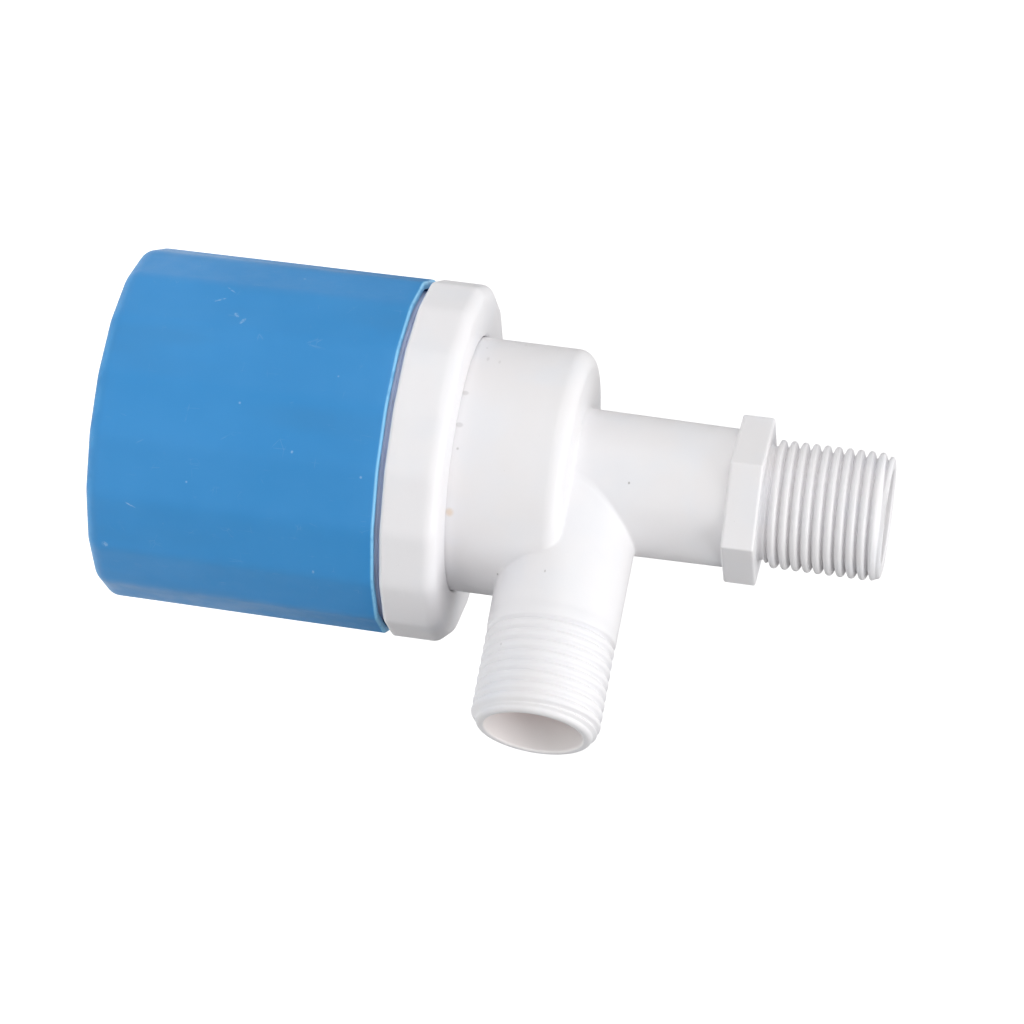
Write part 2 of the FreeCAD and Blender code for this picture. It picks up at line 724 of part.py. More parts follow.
# --------------------------------------------------------------------- pilot
def pilot_cover():
    """Disc with the spring's boss on top and two hinge ears below."""
    body = new_body("pilot_cover")
    boss_top = dim.cover_top + dim.cover_boss_high
    turned(body, "cover_disc", [
        (0, dim.cover_low), (dim.cover_rad, dim.cover_low), (dim.cover_rad, dim.cover_top),
        (dim.cover_boss, dim.cover_top), (dim.cover_boss, boss_top), (0, boss_top),
    ])
    hinge_x, hinge_z, half = dim.hinge_x, dim.hinge_z, dim.ear_half
    root = dim.cover_low + OVERLAP
    flat = 1.2  # from the hinge to where the cut corners start
    drawing = sketch(body, "ear_sketch")
    polygon(drawing, [
        (hinge_x - half, root), (hinge_x - half, hinge_z - flat),
        (hinge_x - flat, hinge_z - half), (hinge_x + flat, hinge_z - half),
        (hinge_x + half, hinge_z - flat), (hinge_x + half, root),
    ])
    feature(body, "Pad", "ears", drawing, Length=dim.ear_out * 2, Midplane=True)
    reach = half + MARGIN
    drawing = sketch(body, "ear_gap_sketch")
    polygon(drawing, [
        (hinge_x - reach, dim.cover_low), (hinge_x - reach, hinge_z - reach),
        (hinge_x + reach, hinge_z - reach), (hinge_x + reach, dim.cover_low),
    ])
    feature(body, "Pocket", "ear_gap", drawing, Length=dim.ear_in * 2, Midplane=True)
    drilled(
        body, "ear_bore", hinge_x, hinge_z, dim.hinge_rad + FIT, role="XZ_Plane",
        Length=20.0, Midplane=True,
    )
    drilled(
        body, "nozzle_hole", dim.nozzle_x, 0, dim.nozzle_rad + 0.03,
        offset=dim.cover_top, Length=5.0,
    )
    return body


def pilot_nozzle():
    """Turned about its own axis, with heights from the cover's top, then moved over."""
    tip_wall, neck_less = 0.35, 0.3  # wall at the tip; neck radius below the body's
    cone_high = 1.6
    collar_wide, collar_high = 1.2, 1.6
    tip = dim.nozzle_tip - dim.cover_top
    face = dim.cover_low - dim.cover_top
    neck_rad = dim.nozzle_rad - neck_less
    collar_rad = dim.nozzle_rad + collar_wide
    top = -0.05
    body = new_body("pilot_nozzle")
    drawing = sketch(body, "nozzle_sketch")
    polygon(drawing, [
        (dim.nozzle_bore, tip),
        (dim.nozzle_bore + tip_wall, tip),
        (neck_rad, tip + cone_high),
        (neck_rad, face - collar_high),
        (collar_rad, face - collar_high),
        (collar_rad, face - FIT),
        (dim.nozzle_rad, face - FIT),
        (dim.nozzle_rad, top),
        (dim.nozzle_bore, top),
    ])
    feature(body, "Revolution", "nozzle_turning", drawing, axis="V_Axis", Angle=360.0)
    body.Placement = FreeCAD.Placement(
        Vector(dim.nozzle_x.num, 0, dim.cover_top.num), FreeCAD.Rotation()
    )
    link(body, "Placement.Base.x", dim.nozzle_x)
    link(body, "Placement.Base.z", dim.cover_top)
    return body


def lever_pin():
    return cylinder(
        "lever_pin", dim.hinge_rad, -dim.ear_out, dim.ear_out, dim.hinge_x, dim.hinge_z, "Y"
    )


def pilot_lever():
    """Lever from the hinge at +X to the forked end at the float stem."""
    body = new_body("pilot_lever")
    hinge_x, hinge_z, pin_z = dim.hinge_x, dim.hinge_z, dim.pin_z
    rise = dim.lever_rise
    drawing = sketch(body, "lever_side_sketch")
    # side outline (x, z), tied to the hinge and to the cross pin
    polygon(drawing, [
        (hinge_x + 2.6, hinge_z - 1.0), (hinge_x + 2.6, hinge_z + 1.0),
        (hinge_x + 1.6, hinge_z + rise), (hinge_x - 8.5, hinge_z + rise),
        (1.8, pin_z + 2.0), (-1.6, pin_z + 2.0),
        (-2.4, pin_z + 1.2), (-2.4, pin_z - 0.9),
        (-1.6, pin_z - 1.75), (0.8, pin_z - 1.75),
        (hinge_x - 10.0, hinge_z - rise), (hinge_x + 1.6, hinge_z - rise),
    ])
    feature(body, "Pad", "lever_blank", drawing, Length=dim.lever_half * 2, Midplane=True)
    through = 12.0  # deep enough for every cut through the lever
    above, gap_end, gap_root = -26.0, -4, hinge_x - 8.6
    drawing = sketch(body, "fork_gap_sketch", "XY_Plane", above)
    polygon(drawing, [
        (gap_end, -dim.fork_half), (gap_root, -dim.fork_half),
        (gap_root, dim.fork_half), (gap_end, dim.fork_half),
    ])
    feature(body, "Pocket", "fork_gap", drawing, Length=through)
    drawing = sketch(body, "lever_bore_sketch")
    circle(drawing, hinge_x, hinge_z, dim.lever_bore)
    feature(body, "Pocket", "lever_bore_cut", drawing, Length=through, Midplane=True)
    eye_x, eye_drop = 0.215, 0.05
    drilled(
        body, "fork_eye", eye_x, pin_z - eye_drop, dim.fork_hole, role="XZ_Plane",
        Length=through, Midplane=True,
    )
    drilled(
        body, "pad_recess", dim.nozzle_x, 0, dim.pad_rad + 0.05,
        offset=hinge_z + rise, Length=dim.recess_deep,
    )
    return body


def pilot_pad():
    low = dim.hinge_z + dim.lever_rise - dim.recess_deep + 0.03
    return cylinder("pilot_pad", dim.pad_rad, low, dim.nozzle_tip - 0.05, dim.nozzle_x)


# ------------------------------------------------------------------ strainer
def inlet_strainer():
    """Slotted basket with a closed bottom, hung by its rim in the inlet."""
    bevel_wide, bevel_high = 0.3, 0.5
    rad, inner, low = dim.strainer_rad, dim.strainer_in, dim.strainer_low
    floor_top = low + dim.strainer_floor
    rim_rad = dim.step_rad - 0.05
    rim_low, rim_top = dim.step_low + 0.03, dim.step_low + dim.strainer_rim
    body = new_body("inlet_strainer")
    turned(body, "strainer", [
        (0, low), (rad - bevel_wide, low), (rad, low + bevel_high), (rad, rim_low),
        (rim_rad, rim_low), (rim_rad, rim_top), (inner, rim_top),
        (inner, floor_top), (0, floor_top),
    ])
    half = dim.slot_half
    drawing = sketch(body, "slot_sketch")
    polygon(drawing, [
        (-half, dim.slot_low), (half, dim.slot_low),
        (half, dim.slot_high), (-half, dim.slot_high),
    ])
    slot = feature(body, "Pocket", "strainer_slot", drawing, Length=14.0, Midplane=True)
    repeated(body, "strainer_slots", slot, "V_Axis", 12)
    return body


# -------------------------------------------------------------------- piston
def piston():
    """Cup with a seal groove around it, a washer seat on top and a hub below."""
    body = new_body("piston")
    rad, bevel = dim.piston_rad, dim.piston_bevel
    seat_rad, seat_floor = dim.washer_rad + 0.1, dim.washer_low - 0.03
    turned(body, "piston_turning", [
        (0, seat_floor),
        (seat_rad, seat_floor),
        (seat_rad, dim.piston_top),
        (rad - bevel, dim.piston_top),
        (rad, dim.piston_top - bevel),
        (rad, dim.groove_top),
        (dim.groove_rad, dim.groove_top),
        (dim.groove_rad, dim.groove_low),
        (rad, dim.groove_low),
        (rad, dim.piston_low),
        (dim.hollow_rad, dim.piston_low),
        (dim.hollow_rad, dim.hollow_top),
        (dim.hub_rad, dim.hollow_top),
        (dim.hub_rad, dim.hub_low),
        (0, dim.hub_low),
    ])
    through = 12.0
    drilled(
        body, "retainer_hole", 0, 0, dim.screw_rad + 0.05, offset=dim.piston_top,
        Length=through,
    )
    drilled(
        body, "bleed_hole", 0, dim.bleed_y, dim.bleed_rad, offset=dim.piston_top + 0.5,
        Length=through,
    )
    return body


def piston_seal():
    """Lip seal: two legs point down, with a notch between them."""
    inner = dim.groove_rad + 0.05
    top, low = dim.groove_top - 0.1, dim.groove_low + 0.1
    notch_top, lip_low = -12.6, -13.6
    return turned_piece("piston_seal", [
        (inner, top), (inner, low), (17.0, low),
        (17.2, notch_top), (17.5, notch_top), (17.8, low),
        (dim.piston_rad + 0.02, lip_low), (dim.piston_rad - 0.1, top),
    ])


def seat_washer():
    bore = dim.screw_rad + 0.1
    return turned_piece("seat_washer", [
        (bore, dim.washer_low), (dim.washer_rad, dim.washer_low),
        (dim.washer_rad, dim.washer_top), (bore, dim.washer_top),
    ])


def seat_screw():
    head_rad, crown_rad = 4.2, 3.4
    head_low = dim.washer_top + FIT
    shoulder, crown = dim.washer_top + 1.0, dim.washer_top + 1.8
    return turned_piece("seat_screw", [
        (0, dim.screw_low), (dim.screw_rad, dim.screw_low), (dim.screw_rad, head_low),
        (head_rad, head_low), (head_rad, shoulder), (crown_rad, crown), (0, crown),
    ])


def seat_nut():
    low, high = dim.hub_low - 2.2, dim.hub_low - FIT
    nut = hex_nut("seat_nut", 1, 3.2, dim.screw_rad + FIT, low, high)
    nut.Label = "seat_nut"
    return nut


def return_spring():
    low_gap, height_gap = 0.05, 0.15
    body = new_body("return_spring")
    drawing = sketch(body, "wire_sketch")
    circle(drawing, dim.spring_rad, dim.cover_top + dim.wire_rad + low_gap, dim.wire_rad)
    coil = body.newObject("PartDesign::AdditiveHelix", "coil")
    coil.Profile = drawing
    coil.ReferenceAxis = (drawing, ["V_Axis"])
    coil.Mode = "pitch-height-angle"
    assign(coil, "Pitch", dim.spring_pitch)
    height = dim.hollow_top - dim.cover_top - dim.wire_rad * 2 - height_gap
    assign(coil, "Height", height)
    coil.LeftHanded = False
    coil.Reversed = False
    doc.recompute()
    return body


# --------------------------------------------------------------------- float
def float_cup():
    body = new_body("float_cup")
    low, lip = dim.cup_low, dim.cup_lip
    drawing = sketch(body, "cup_sketch", "XY_Plane", low)
    flats(drawing, SIDES, dim.cup_rad_low)
    feature(body, "Pad", "cup_blank", drawing, Length=lip - low, TaperAngle=dim.cup_draft)
    dress_edges(body, "cup_corners", upright_edge(beyond=29.0, lean=0.5), dim.corner_round)
    dress_edges(body, "cup_bottom_edge", level_edge(low, beyond=25.0), dim.cup_round)
    drawing = sketch(body, "cup_inside_sketch", "XY_Plane", lip)
    flats(drawing, SIDES, dim.cup_rad - dim.cup_wall)
    feature(body, "Pocket", "cup_inside", drawing, Length=lip - low - dim.cup_floor)
    dress_edges(body, "cup_rim", level_edge(lip, beyond=29.0), dim.lip_round)
    return body


def float_core():
    low, top = dim.cup_low + dim.cup_floor + 0.05, dim.lid_low - 0.03
    blank = cylinder("core_blank", dim.core_rad, low, top)
    recess_low = dim.stem_low - 1.5
    recess = cylinder("core_recess", dim.core_recess, recess_low, dim.lid_low + MARGIN)
    return cut("float_core", blank, recess)


stem_hole = dim.stem_rad + 0.05  # hole radius of the lid and its washers


def float_lid():
    blank = cylinder("lid_blank", dim.core_rad, dim.lid_low, dim.lid_top)
    hole = cylinder("lid_hole", stem_hole, dim.lid_low - MARGIN, dim.lid_top + MARGIN)
    return cut("float_lid", blank, hole)


def float_stem():
    rod = cylinder("stem_rod", dim.stem_rad, dim.stem_low, dim.stem_top)
    eye = cylinder("stem_eye", dim.pin_rad + FIT, -5, 5, 0, dim.pin_z, "Y")
    return cut("float_stem", rod, eye)


def stem_pin():
    half = dim.pin_half
    return cylinder("stem_pin", dim.pin_rad, -half, half, 0, dim.pin_z, "Y")


def stem_washers():
    """One washer on the lid and one under it."""
    rad, near, far = 4.2, 0.01, 0.41  # faces from the lid
    spans = [
        (dim.lid_top + near, dim.lid_top + far),
        (dim.lid_low - far, dim.lid_low - near),
    ]
    washers = []
    for i, (low, high) in enumerate(spans, start=1):
        disc = cylinder("washer_disc%d" % i, rad, low, high)
        hole = cylinder("washer_hole%d" % i, stem_hole, low - MARGIN, high + MARGIN)
        washers.append(cut("stem_washer_%d" % i, disc, hole))
    return compound("stem_washers", washers)


def stem_nuts():
    """One nut above the washers and a thicker one below."""
    near, far_above, far_below = 0.43, 1.95, 2.4  # faces from the lid
    spans = [
        (dim.lid_top + near, dim.lid_top + far_above),
        (dim.lid_low - far_below, dim.lid_low - near),
    ]
    bore = dim.stem_rad + FIT
    nuts = [
        hex_nut("stem_nuts", i, 3.6, bore, low, high)
        for i, (low, high) in enumerate(spans, start=1)
    ]
    return compound("stem_nuts", nuts)


# -------------------------------------------------------------------- export
PIECES = [
    make()
    for make in (
        valve_body, clamp_collar, guide_housing, guide_bush, body_gasket,
        pilot_cover, pilot_nozzle, lever_pin, inlet_strainer,
        piston, piston_seal, seat_washer, seat_screw, seat_nut, return_spring,
        float_cup, float_core, float_lid, float_stem, stem_pin, stem_washers, stem_nuts,
        pilot_lever, pilot_pad,
    )
]
doc.recompute()
for obj in doc.Objects:
    if failed(obj):
        raise RuntimeError("%s is %s" % (obj.Label, obj.State))
for piece in PIECES:
    shape = piece.Shape
    if shape.isNull() or not shape.isValid() or not shape.Solids:
        raise RuntimeError("%s has no valid solid" % piece.Label)

# every piece is placed alike: the hexagon's upper face comes to height 0
seat = FreeCAD.Placement(Vector(0, 0, -dim.hex_top.num), FreeCAD.Rotation())
for piece in PIECES:
    shape = piece.Shape.copy()
    shape.Placement = seat.multiply(shape.Placement)
    shape.exportStep("parts/%s.step" % piece.Label)
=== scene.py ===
# A white plastic float valve: a body with a threaded inlet above and a threaded side outlet,
# an 18-sided clamp collar under the body, and a blue 18-sided float cup below that.
# The valve stands along +Z and the outlet points along +X. Shapes are written in millimetres,
# with heights from the outlet's axis; mesh_object turns them into metres in the frame.
import json
import math
from functools import reduce
from itertools import combinations, product

import bmesh
import bpy
import numpy as np
from mathutils import Matrix, Vector


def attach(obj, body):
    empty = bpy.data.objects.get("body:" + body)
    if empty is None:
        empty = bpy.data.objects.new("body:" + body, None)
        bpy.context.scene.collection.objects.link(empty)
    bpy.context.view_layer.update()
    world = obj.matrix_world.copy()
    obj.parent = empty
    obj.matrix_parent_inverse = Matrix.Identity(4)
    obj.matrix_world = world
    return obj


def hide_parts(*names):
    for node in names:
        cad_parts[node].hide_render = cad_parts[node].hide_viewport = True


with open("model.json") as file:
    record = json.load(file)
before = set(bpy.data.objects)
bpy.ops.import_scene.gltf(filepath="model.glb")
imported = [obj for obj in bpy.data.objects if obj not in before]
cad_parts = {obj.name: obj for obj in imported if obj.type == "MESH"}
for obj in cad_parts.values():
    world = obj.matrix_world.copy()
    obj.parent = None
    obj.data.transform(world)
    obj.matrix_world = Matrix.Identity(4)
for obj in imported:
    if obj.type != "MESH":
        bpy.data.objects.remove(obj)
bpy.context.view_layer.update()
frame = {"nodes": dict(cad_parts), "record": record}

MM = 0.001

# --------------------------------------------------------------- dimensions, mm
SEAT = 30.45  # the outlet's axis lies this far below the frame's origin
NECK_R, NECK_TOP, NECK_ROUND = 20.95, -0.1, 2.8
PIPE_R_LOW, PIPE_R_HIGH = 11.6, 11.35
HEX_LOW, HEX_TOP, HEX_FLATS, HEX_ROUND = 25.1, SEAT, 24.0, 0.42
THREAD_R, THREAD_ROOT, PITCH = 10.4775, 9.3155, 1.814
INLET_START, INLET_END = 31.325, 50.5
OUT_START, OUT_END = 27.5, 45.25
BRANCH_R_ROOT, BRANCH_R_END = 10.75, 10.54
BRANCH_TAPER_START = 10.0
CHAMBER_R, CHAMBER_TOP = 18.2, -3.0
FLANGE_R, FLANGE_TOP, FLANGE_LOW = 25.0, -20.95, -23.6
GROOVE_R, GROOVE_HALF, GROOVE_DEEP = 23.0, 1.1, 1.2  # ring groove under the flange
BORE_IN, BORE_OUT = 7.8, 7.95
SIDE_BORE, SIDE_STEP_X = 7.6, 20.0  # the outlet's bore is narrower before the step
TUBE_LOW, TUBE_HIGH, TUBE_R = -7.0, 12.0, 9.8  # tube hanging inside the chamber
TUBE_TIP_R, TUBE_TIP_LONG = 8.4, 1.6
BORE_LOW, BORE_MID = 6.6, 7.2  # upright bore, widening at the two heights below
BORE_MID_Z, BORE_CONE_Z, BORE_CONE_SLOPE = 14, 18, 0.6

SIDES, POINTS_PER_SIDE = 18, 18
HALF_SIDE = math.pi / SIDES


# ------------------------------------------------------------------ mesh making
def add_object(name, data):
    ob = bpy.data.objects.new(name, data)
    bpy.context.scene.collection.objects.link(ob)
    return ob


def mesh_object(name, verts, quads, normals=None):
    """Smooth mesh from vertices in millimetres. A quad with its last index repeated is a triangle."""
    verts = (np.asarray(verts) - np.array([0.0, 0.0, SEAT])) * MM
    faces = [quad[:3] if quad[2] == quad[3] else quad for quad in quads.tolist()]
    mesh = bpy.data.meshes.new(name)
    mesh.from_pydata(verts.tolist(), [], faces)
    mesh.update()
    mesh.polygons.foreach_set("use_smooth", [True] * len(mesh.polygons))
    if normals is not None:
        mesh.normals_split_custom_set_from_vertices(normals.tolist())
    return add_object(name, mesh)


def loft(rings, closed=True):
    """Quads between rings of equal count. Closed joins the last to the first; else ends are capped."""
    count = len(rings[0])
    verts = np.concatenate(rings)
    here = np.arange(count)
    after = (here + 1) % count
    quads = []
    for k in range(len(rings) if closed else len(rings) - 1):
        a, b = k * count, ((k + 1) % len(rings)) * count
        quads.append(np.stack([a + here, a + after, b + after, b + here], 1))
    if not closed:
        centre = here * 0 + len(verts)
        last = len(verts) - count
        quads.append(np.stack([centre, after, here, here], 1))
        quads.append(np.stack([centre + 1, last + here, last + after, last + after], 1))
        verts = np.concatenate([verts, [rings[0].mean(0), rings[-1].mean(0)]])
    return verts, np.concatenate(quads)


def level_ring(theta, radius, z):
    return np.stack([radius * np.cos(theta), radius * np.sin(theta), np.full_like(theta, z)], 1)


def quarter_arc(steps, first=0):
    """Steps of a quarter turn as (1 - cosine, 1 - sine): one share grows as the other shrinks."""
    angles = map(math.radians, np.linspace(0, 90, steps)[first:])
    return [(1 - math.cos(angle), 1 - math.sin(angle)) for angle in angles]


def many_sided(theta, apothem, corner):
    """Distance from the axis to a rounded regular polygon; corners lie at 0, 20, 40 ... degrees."""
    phi = (theta + HALF_SIDE) % (2 * HALF_SIDE) - HALF_SIDE
    corner = min(corner, apothem * 0.98)
    centre = (apothem - corner) / math.cos(HALF_SIDE)
    turn = math.atan2(corner * math.sin(HALF_SIDE), centre + corner * math.cos(HALF_SIDE))
    under_root = np.maximum(corner**2 - (centre * np.sin(phi)) ** 2, 0)
    arc = centre * np.cos(phi) + np.sqrt(under_root)
    flat = apothem / np.cos(HALF_SIDE - np.abs(phi))
    return np.where(np.abs(phi) < turn, arc, flat)


def side_angles():
    """Angles round the axis, denser at the corners."""
    linear = 0.45  # share of even spacing
    s = np.linspace(-1, 1, POINTS_PER_SIDE, endpoint=False)
    s = np.sign(s) * (linear * np.abs(s) + (1 - linear) * np.abs(s) ** 2)
    base = s * math.pi / SIDES
    return np.concatenate([base + k * 2 * math.pi / SIDES for k in range(SIDES)])


def wobble(theta, z, amplitude, seed):
    """Slow unevenness of a moulded wall, in millimetres."""
    rng = np.random.default_rng(seed)
    out = 0.0
    for _ in range(7):
        waves = int(rng.integers(1, 9))
        rate = rng.uniform(0.02, 0.12)
        phase_round, phase_up = rng.uniform(0, 2 * math.pi, 2)
        strength = rng.uniform(0.4, 1.0)
        out = out + strength * np.sin(waves * theta + phase_round) * np.sin(rate * z * 2 + phase_up)
    return amplitude * out / 4


def recalc(ob):
    """Turns the faces outward."""
    bm = bmesh.new()
    bm.from_mesh(ob.data)
    bmesh.ops.recalc_face_normals(bm, faces=bm.faces)
    bm.to_mesh(ob.data)
    bm.free()
    ob.data.update()


# ---------------------------------------------------------- float cup and collar
def build_cup():
    low, lip, wall, floor = -76.2, -28.5, 1.3, 1.8
    foot_radius, taper = 29.2, 0.3  # to the corners; the cup is wider at the lip by the taper
    foot_round, lip_round, corner = 2.6, 0.38, 7.0
    inner_corner, inner_lip_round, floor_round = 5.5, 0.2, 1.2
    theta = side_angles()
    rings = []

    def apothem(z):
        return (foot_radius + taper * (z - low) / (lip - low)) * math.cos(HALF_SIDE)

    def add(radius, z):
        rings.append(level_ring(theta, radius, z))

    def outside(z, inset, sink=0.0):
        radius = many_sided(theta, apothem(z) - inset, max(corner - inset, 0.4))
        add(radius + wobble(theta, z, sink, seed=11), z)

    def inside(z, inset):
        add(many_sided(theta, inner_apothem - inset, inner_corner), z)

    # underside, dished a little toward the middle
    for s in (0.18, 0.45, 0.7, 0.9):
        radius = many_sided(theta, (apothem(low) - foot_round) * s, corner * s)
        add(radius, low + 0.25 * (1 - s) ** 2)
    for grow, shrink in quarter_arc(10):
        outside(low + foot_round * grow, foot_round * shrink)
    for z in np.linspace(low + foot_round, lip - lip_round, 26)[1:]:
        outside(z, 0, sink=0.022)
    for grow, shrink in quarter_arc(6, first=1):
        outside(lip - lip_round * shrink, lip_round * grow)
    # inner wall and floor
    inner_apothem = (foot_radius + taper - wall) * math.cos(HALF_SIDE)
    for grow, shrink in quarter_arc(4):
        inside(lip - inner_lip_round * grow, -inner_lip_round * shrink)
    for z in np.linspace(lip - 1.0, low + floor + floor_round, 14):
        inside(z, 0.0)
    for grow, shrink in quarter_arc(5, first=1):
        inside(low + floor + floor_round * shrink, floor_round * grow)
    for s in (0.8, 0.5, 0.2):
        add(many_sided(theta, (inner_apothem - floor_round) * s, 5.0 * s), low + floor)
    return mesh_object("float_cup_skin", *loft(rings, closed=False))


def build_collar():
    low, top, web = -27.55, -18.4, -20.85  # web: underside of the top plate
    bore, hole, corner = 27.0, 21.07, 7.0
    top_round, low_round, hole_round = 2.3, 0.7, 0.6
    apothem = 29.7 * math.cos(HALF_SIDE)
    theta = side_angles()
    rings = []

    def outside(z, inset, sink=0.0):
        radius = many_sided(theta, apothem - inset, max(corner - inset, 0.5))
        rings.append(level_ring(theta, radius + wobble(theta, z, sink, seed=5), z))

    for grow, shrink in quarter_arc(6):
        outside(low + low_round * grow, low_round * shrink)
    for z in np.linspace(low + low_round, top - top_round, 12)[1:]:
        outside(z, 0, sink=0.018)
    for grow, shrink in quarter_arc(12, first=1):
        outside(top - top_round * shrink, top_round * grow)
    # top face, from the polygon to the round hole
    edge = many_sided(theta, apothem - top_round, corner - top_round)
    for s in (0.25, 0.5, 0.75, 0.93):
        rings.append(level_ring(theta, edge * (1 - s) + (hole + 0.75) * s, top))
    for grow, shrink in quarter_arc(6):
        rings.append(level_ring(theta, hole + hole_round * shrink, top - hole_round * grow))
    # round inside, from the hole down to the lower edge: height, radius
    inside = [
        (web + 0.3, hole), (web, hole + 0.2), (web, 23.0), (web, 25.0), (web, 26.6),
        (web - 0.4, bore), (-22.5, bore), (-24.0, bore), (-25.5, bore),
        (low + 0.5, bore), (low + 0.1, bore + 0.1), (low, bore + 0.3),
    ]
    for z, radius in inside:
        rings.append(level_ring(theta, radius, z))
    return mesh_object("clamp_collar_skin", *loft(rings))


# ---------------------------------------------------------------- pipe threads
def ease(t):
    t = np.clip(t, 0, 1)
    return t * t * (3 - 2 * t)


def soft_max(a, b, width):
    """Larger of two values with the change between them smoothed; a negative width gives the smaller."""
    h = np.clip(0.5 + 0.5 * (b - a) / width, 0, 1)
    return a * (1 - h) + b * h + width * h * (1 - h)


def rib_radius(s):
    """Thread radius at distance s from the middle of a groove: steep narrow grooves, round crests."""
    crest_round = 0.56
    crest_s, crest_r = PITCH / 2, THREAD_R - crest_round
    slope = math.radians(22.0)
    flank_s = crest_s - crest_round * math.cos(slope)
    flank_r = crest_r + crest_round * math.sin(slope)
    flank = flank_r - (flank_s - s) / math.tan(slope)
    crest = crest_r + np.sqrt(np.maximum(crest_round**2 - (crest_s - s) ** 2, 0))
    return soft_max(THREAD_ROOT, np.where(s > flank_s, crest, flank), width=0.10)


def groove_distance(z, turn, first):
    u = (z - first - PITCH * turn / (2 * math.pi)) / PITCH
    return np.abs(u - np.round(u)) * PITCH


def inlet_outside(theta, z):
    """Ribs rising out of the relief above the hexagon, with a fillet at the foot."""
    rise_start, rise_skew, rise_long, fillet = INLET_START - 0.15, 0.25, 0.9, 0.35
    ribs = rib_radius(groove_distance(z, theta, first=INLET_START + 0.70))
    grow = ease((z - rise_start - rise_skew * np.sin(theta)) / rise_long)
    foot = np.clip((HEX_TOP + fillet - z) / fillet, 0, 1) ** 2 * fillet
    return THREAD_ROOT + (ribs - THREAD_ROOT) * grow + foot


def outlet_outside(theta, z):
    """Worn shallow ribs; the first groove is the deepest and runs out toward one side."""
    first = OUT_START + 0.95
    ribs = rib_radius(groove_distance(z, theta, first))
    side = 0.5 + 0.5 * np.sin(theta)
    u = z - first - PITCH * theta / (2 * math.pi)
    begin, late = [ease((u + shift) / 0.6) for shift in (PITCH / 2, -PITCH / 2)]
    rise = ease(theta / 0.8)
    begin = begin * (rise + (1 - rise) * late)
    # share of the full groove depth: all over, to one side, at the first groove, near the end
    deep = 0.36 + 0.16 * side + 0.22 * side * np.exp(-((u / 0.7) ** 2))
    deep = deep + 0.15 * math.exp(-(((z - 44.0) / 1.2) ** 2))
    ribs = THREAD_R - (THREAD_R - ribs) * deep
    # flush with the branch where it leaves it, then easing down to the crests
    smooth = BRANCH_R_END - 0.07 + 0.08 * ease((z - 26.6) / 0.5)
    smooth = smooth + (THREAD_R - smooth) * ease((z - 27.4) / 1.6)
    return smooth * (1 - begin) + ribs * begin


def thread_tube(outside, foot, end, bore, tip, lip, lead):
    """Closed tube along Z: ribbed outside, lead cone to the tip radius, round lip, and bore."""
    inner_round = 0.42
    theta = np.linspace(0, 2 * math.pi, 240, endpoint=False)
    rings = []
    for z in np.arange(foot, end - lip, 0.095):
        cone = tip + (end - lip - z) * (THREAD_R + 0.3 - tip) / lead
        last = soft_max(cone, outside(theta, z), width=-0.35)
        rings.append(level_ring(theta, last, z))
    for angle in map(math.radians, np.linspace(8, 90, 10)):
        radius = last + (tip - lip - last) * (1 - math.cos(angle))
        rings.append(level_ring(theta, radius, end - lip + lip * math.sin(angle)))
    for grow, shrink in quarter_arc(7):
        rings.append(level_ring(theta, bore + inner_round * shrink, end - inner_round * grow))
    for z in np.linspace(end - 0.9, foot, 30):
        rings.append(level_ring(theta, bore, z))
    return loft(rings)


# ------------------------------------------------- valve body from its distances
def rounded_union(a, b, radius):
    u = np.maximum(radius - a, 0)
    v = np.maximum(radius - b, 0)
    return np.maximum(radius, np.minimum(a, b)) - np.hypot(u, v)


def rounded_both(a, b, radius):
    """Inside both a and b, with the edge between them rounded."""
    a, b = a + radius, b + radius
    corner = np.hypot(np.maximum(a, 0), np.maximum(b, 0))
    return np.minimum(np.maximum(a, b), 0) + corner - radius


def hexagon(x, y, apothem):
    """Distance to a hexagon with two flats facing along X."""
    cos_x, cos_y, tan_half = -0.866025404, 0.5, 0.577350269
    px, py = np.abs(y), np.abs(x)
    fold = 2 * np.minimum(cos_x * px + cos_y * py, 0)
    px, py = px - fold * cos_x, py - fold * cos_y
    px = px - np.clip(px, -tan_half * apothem, tan_half * apothem)
    py = py - apothem
    return np.hypot(px, py) * np.sign(py)


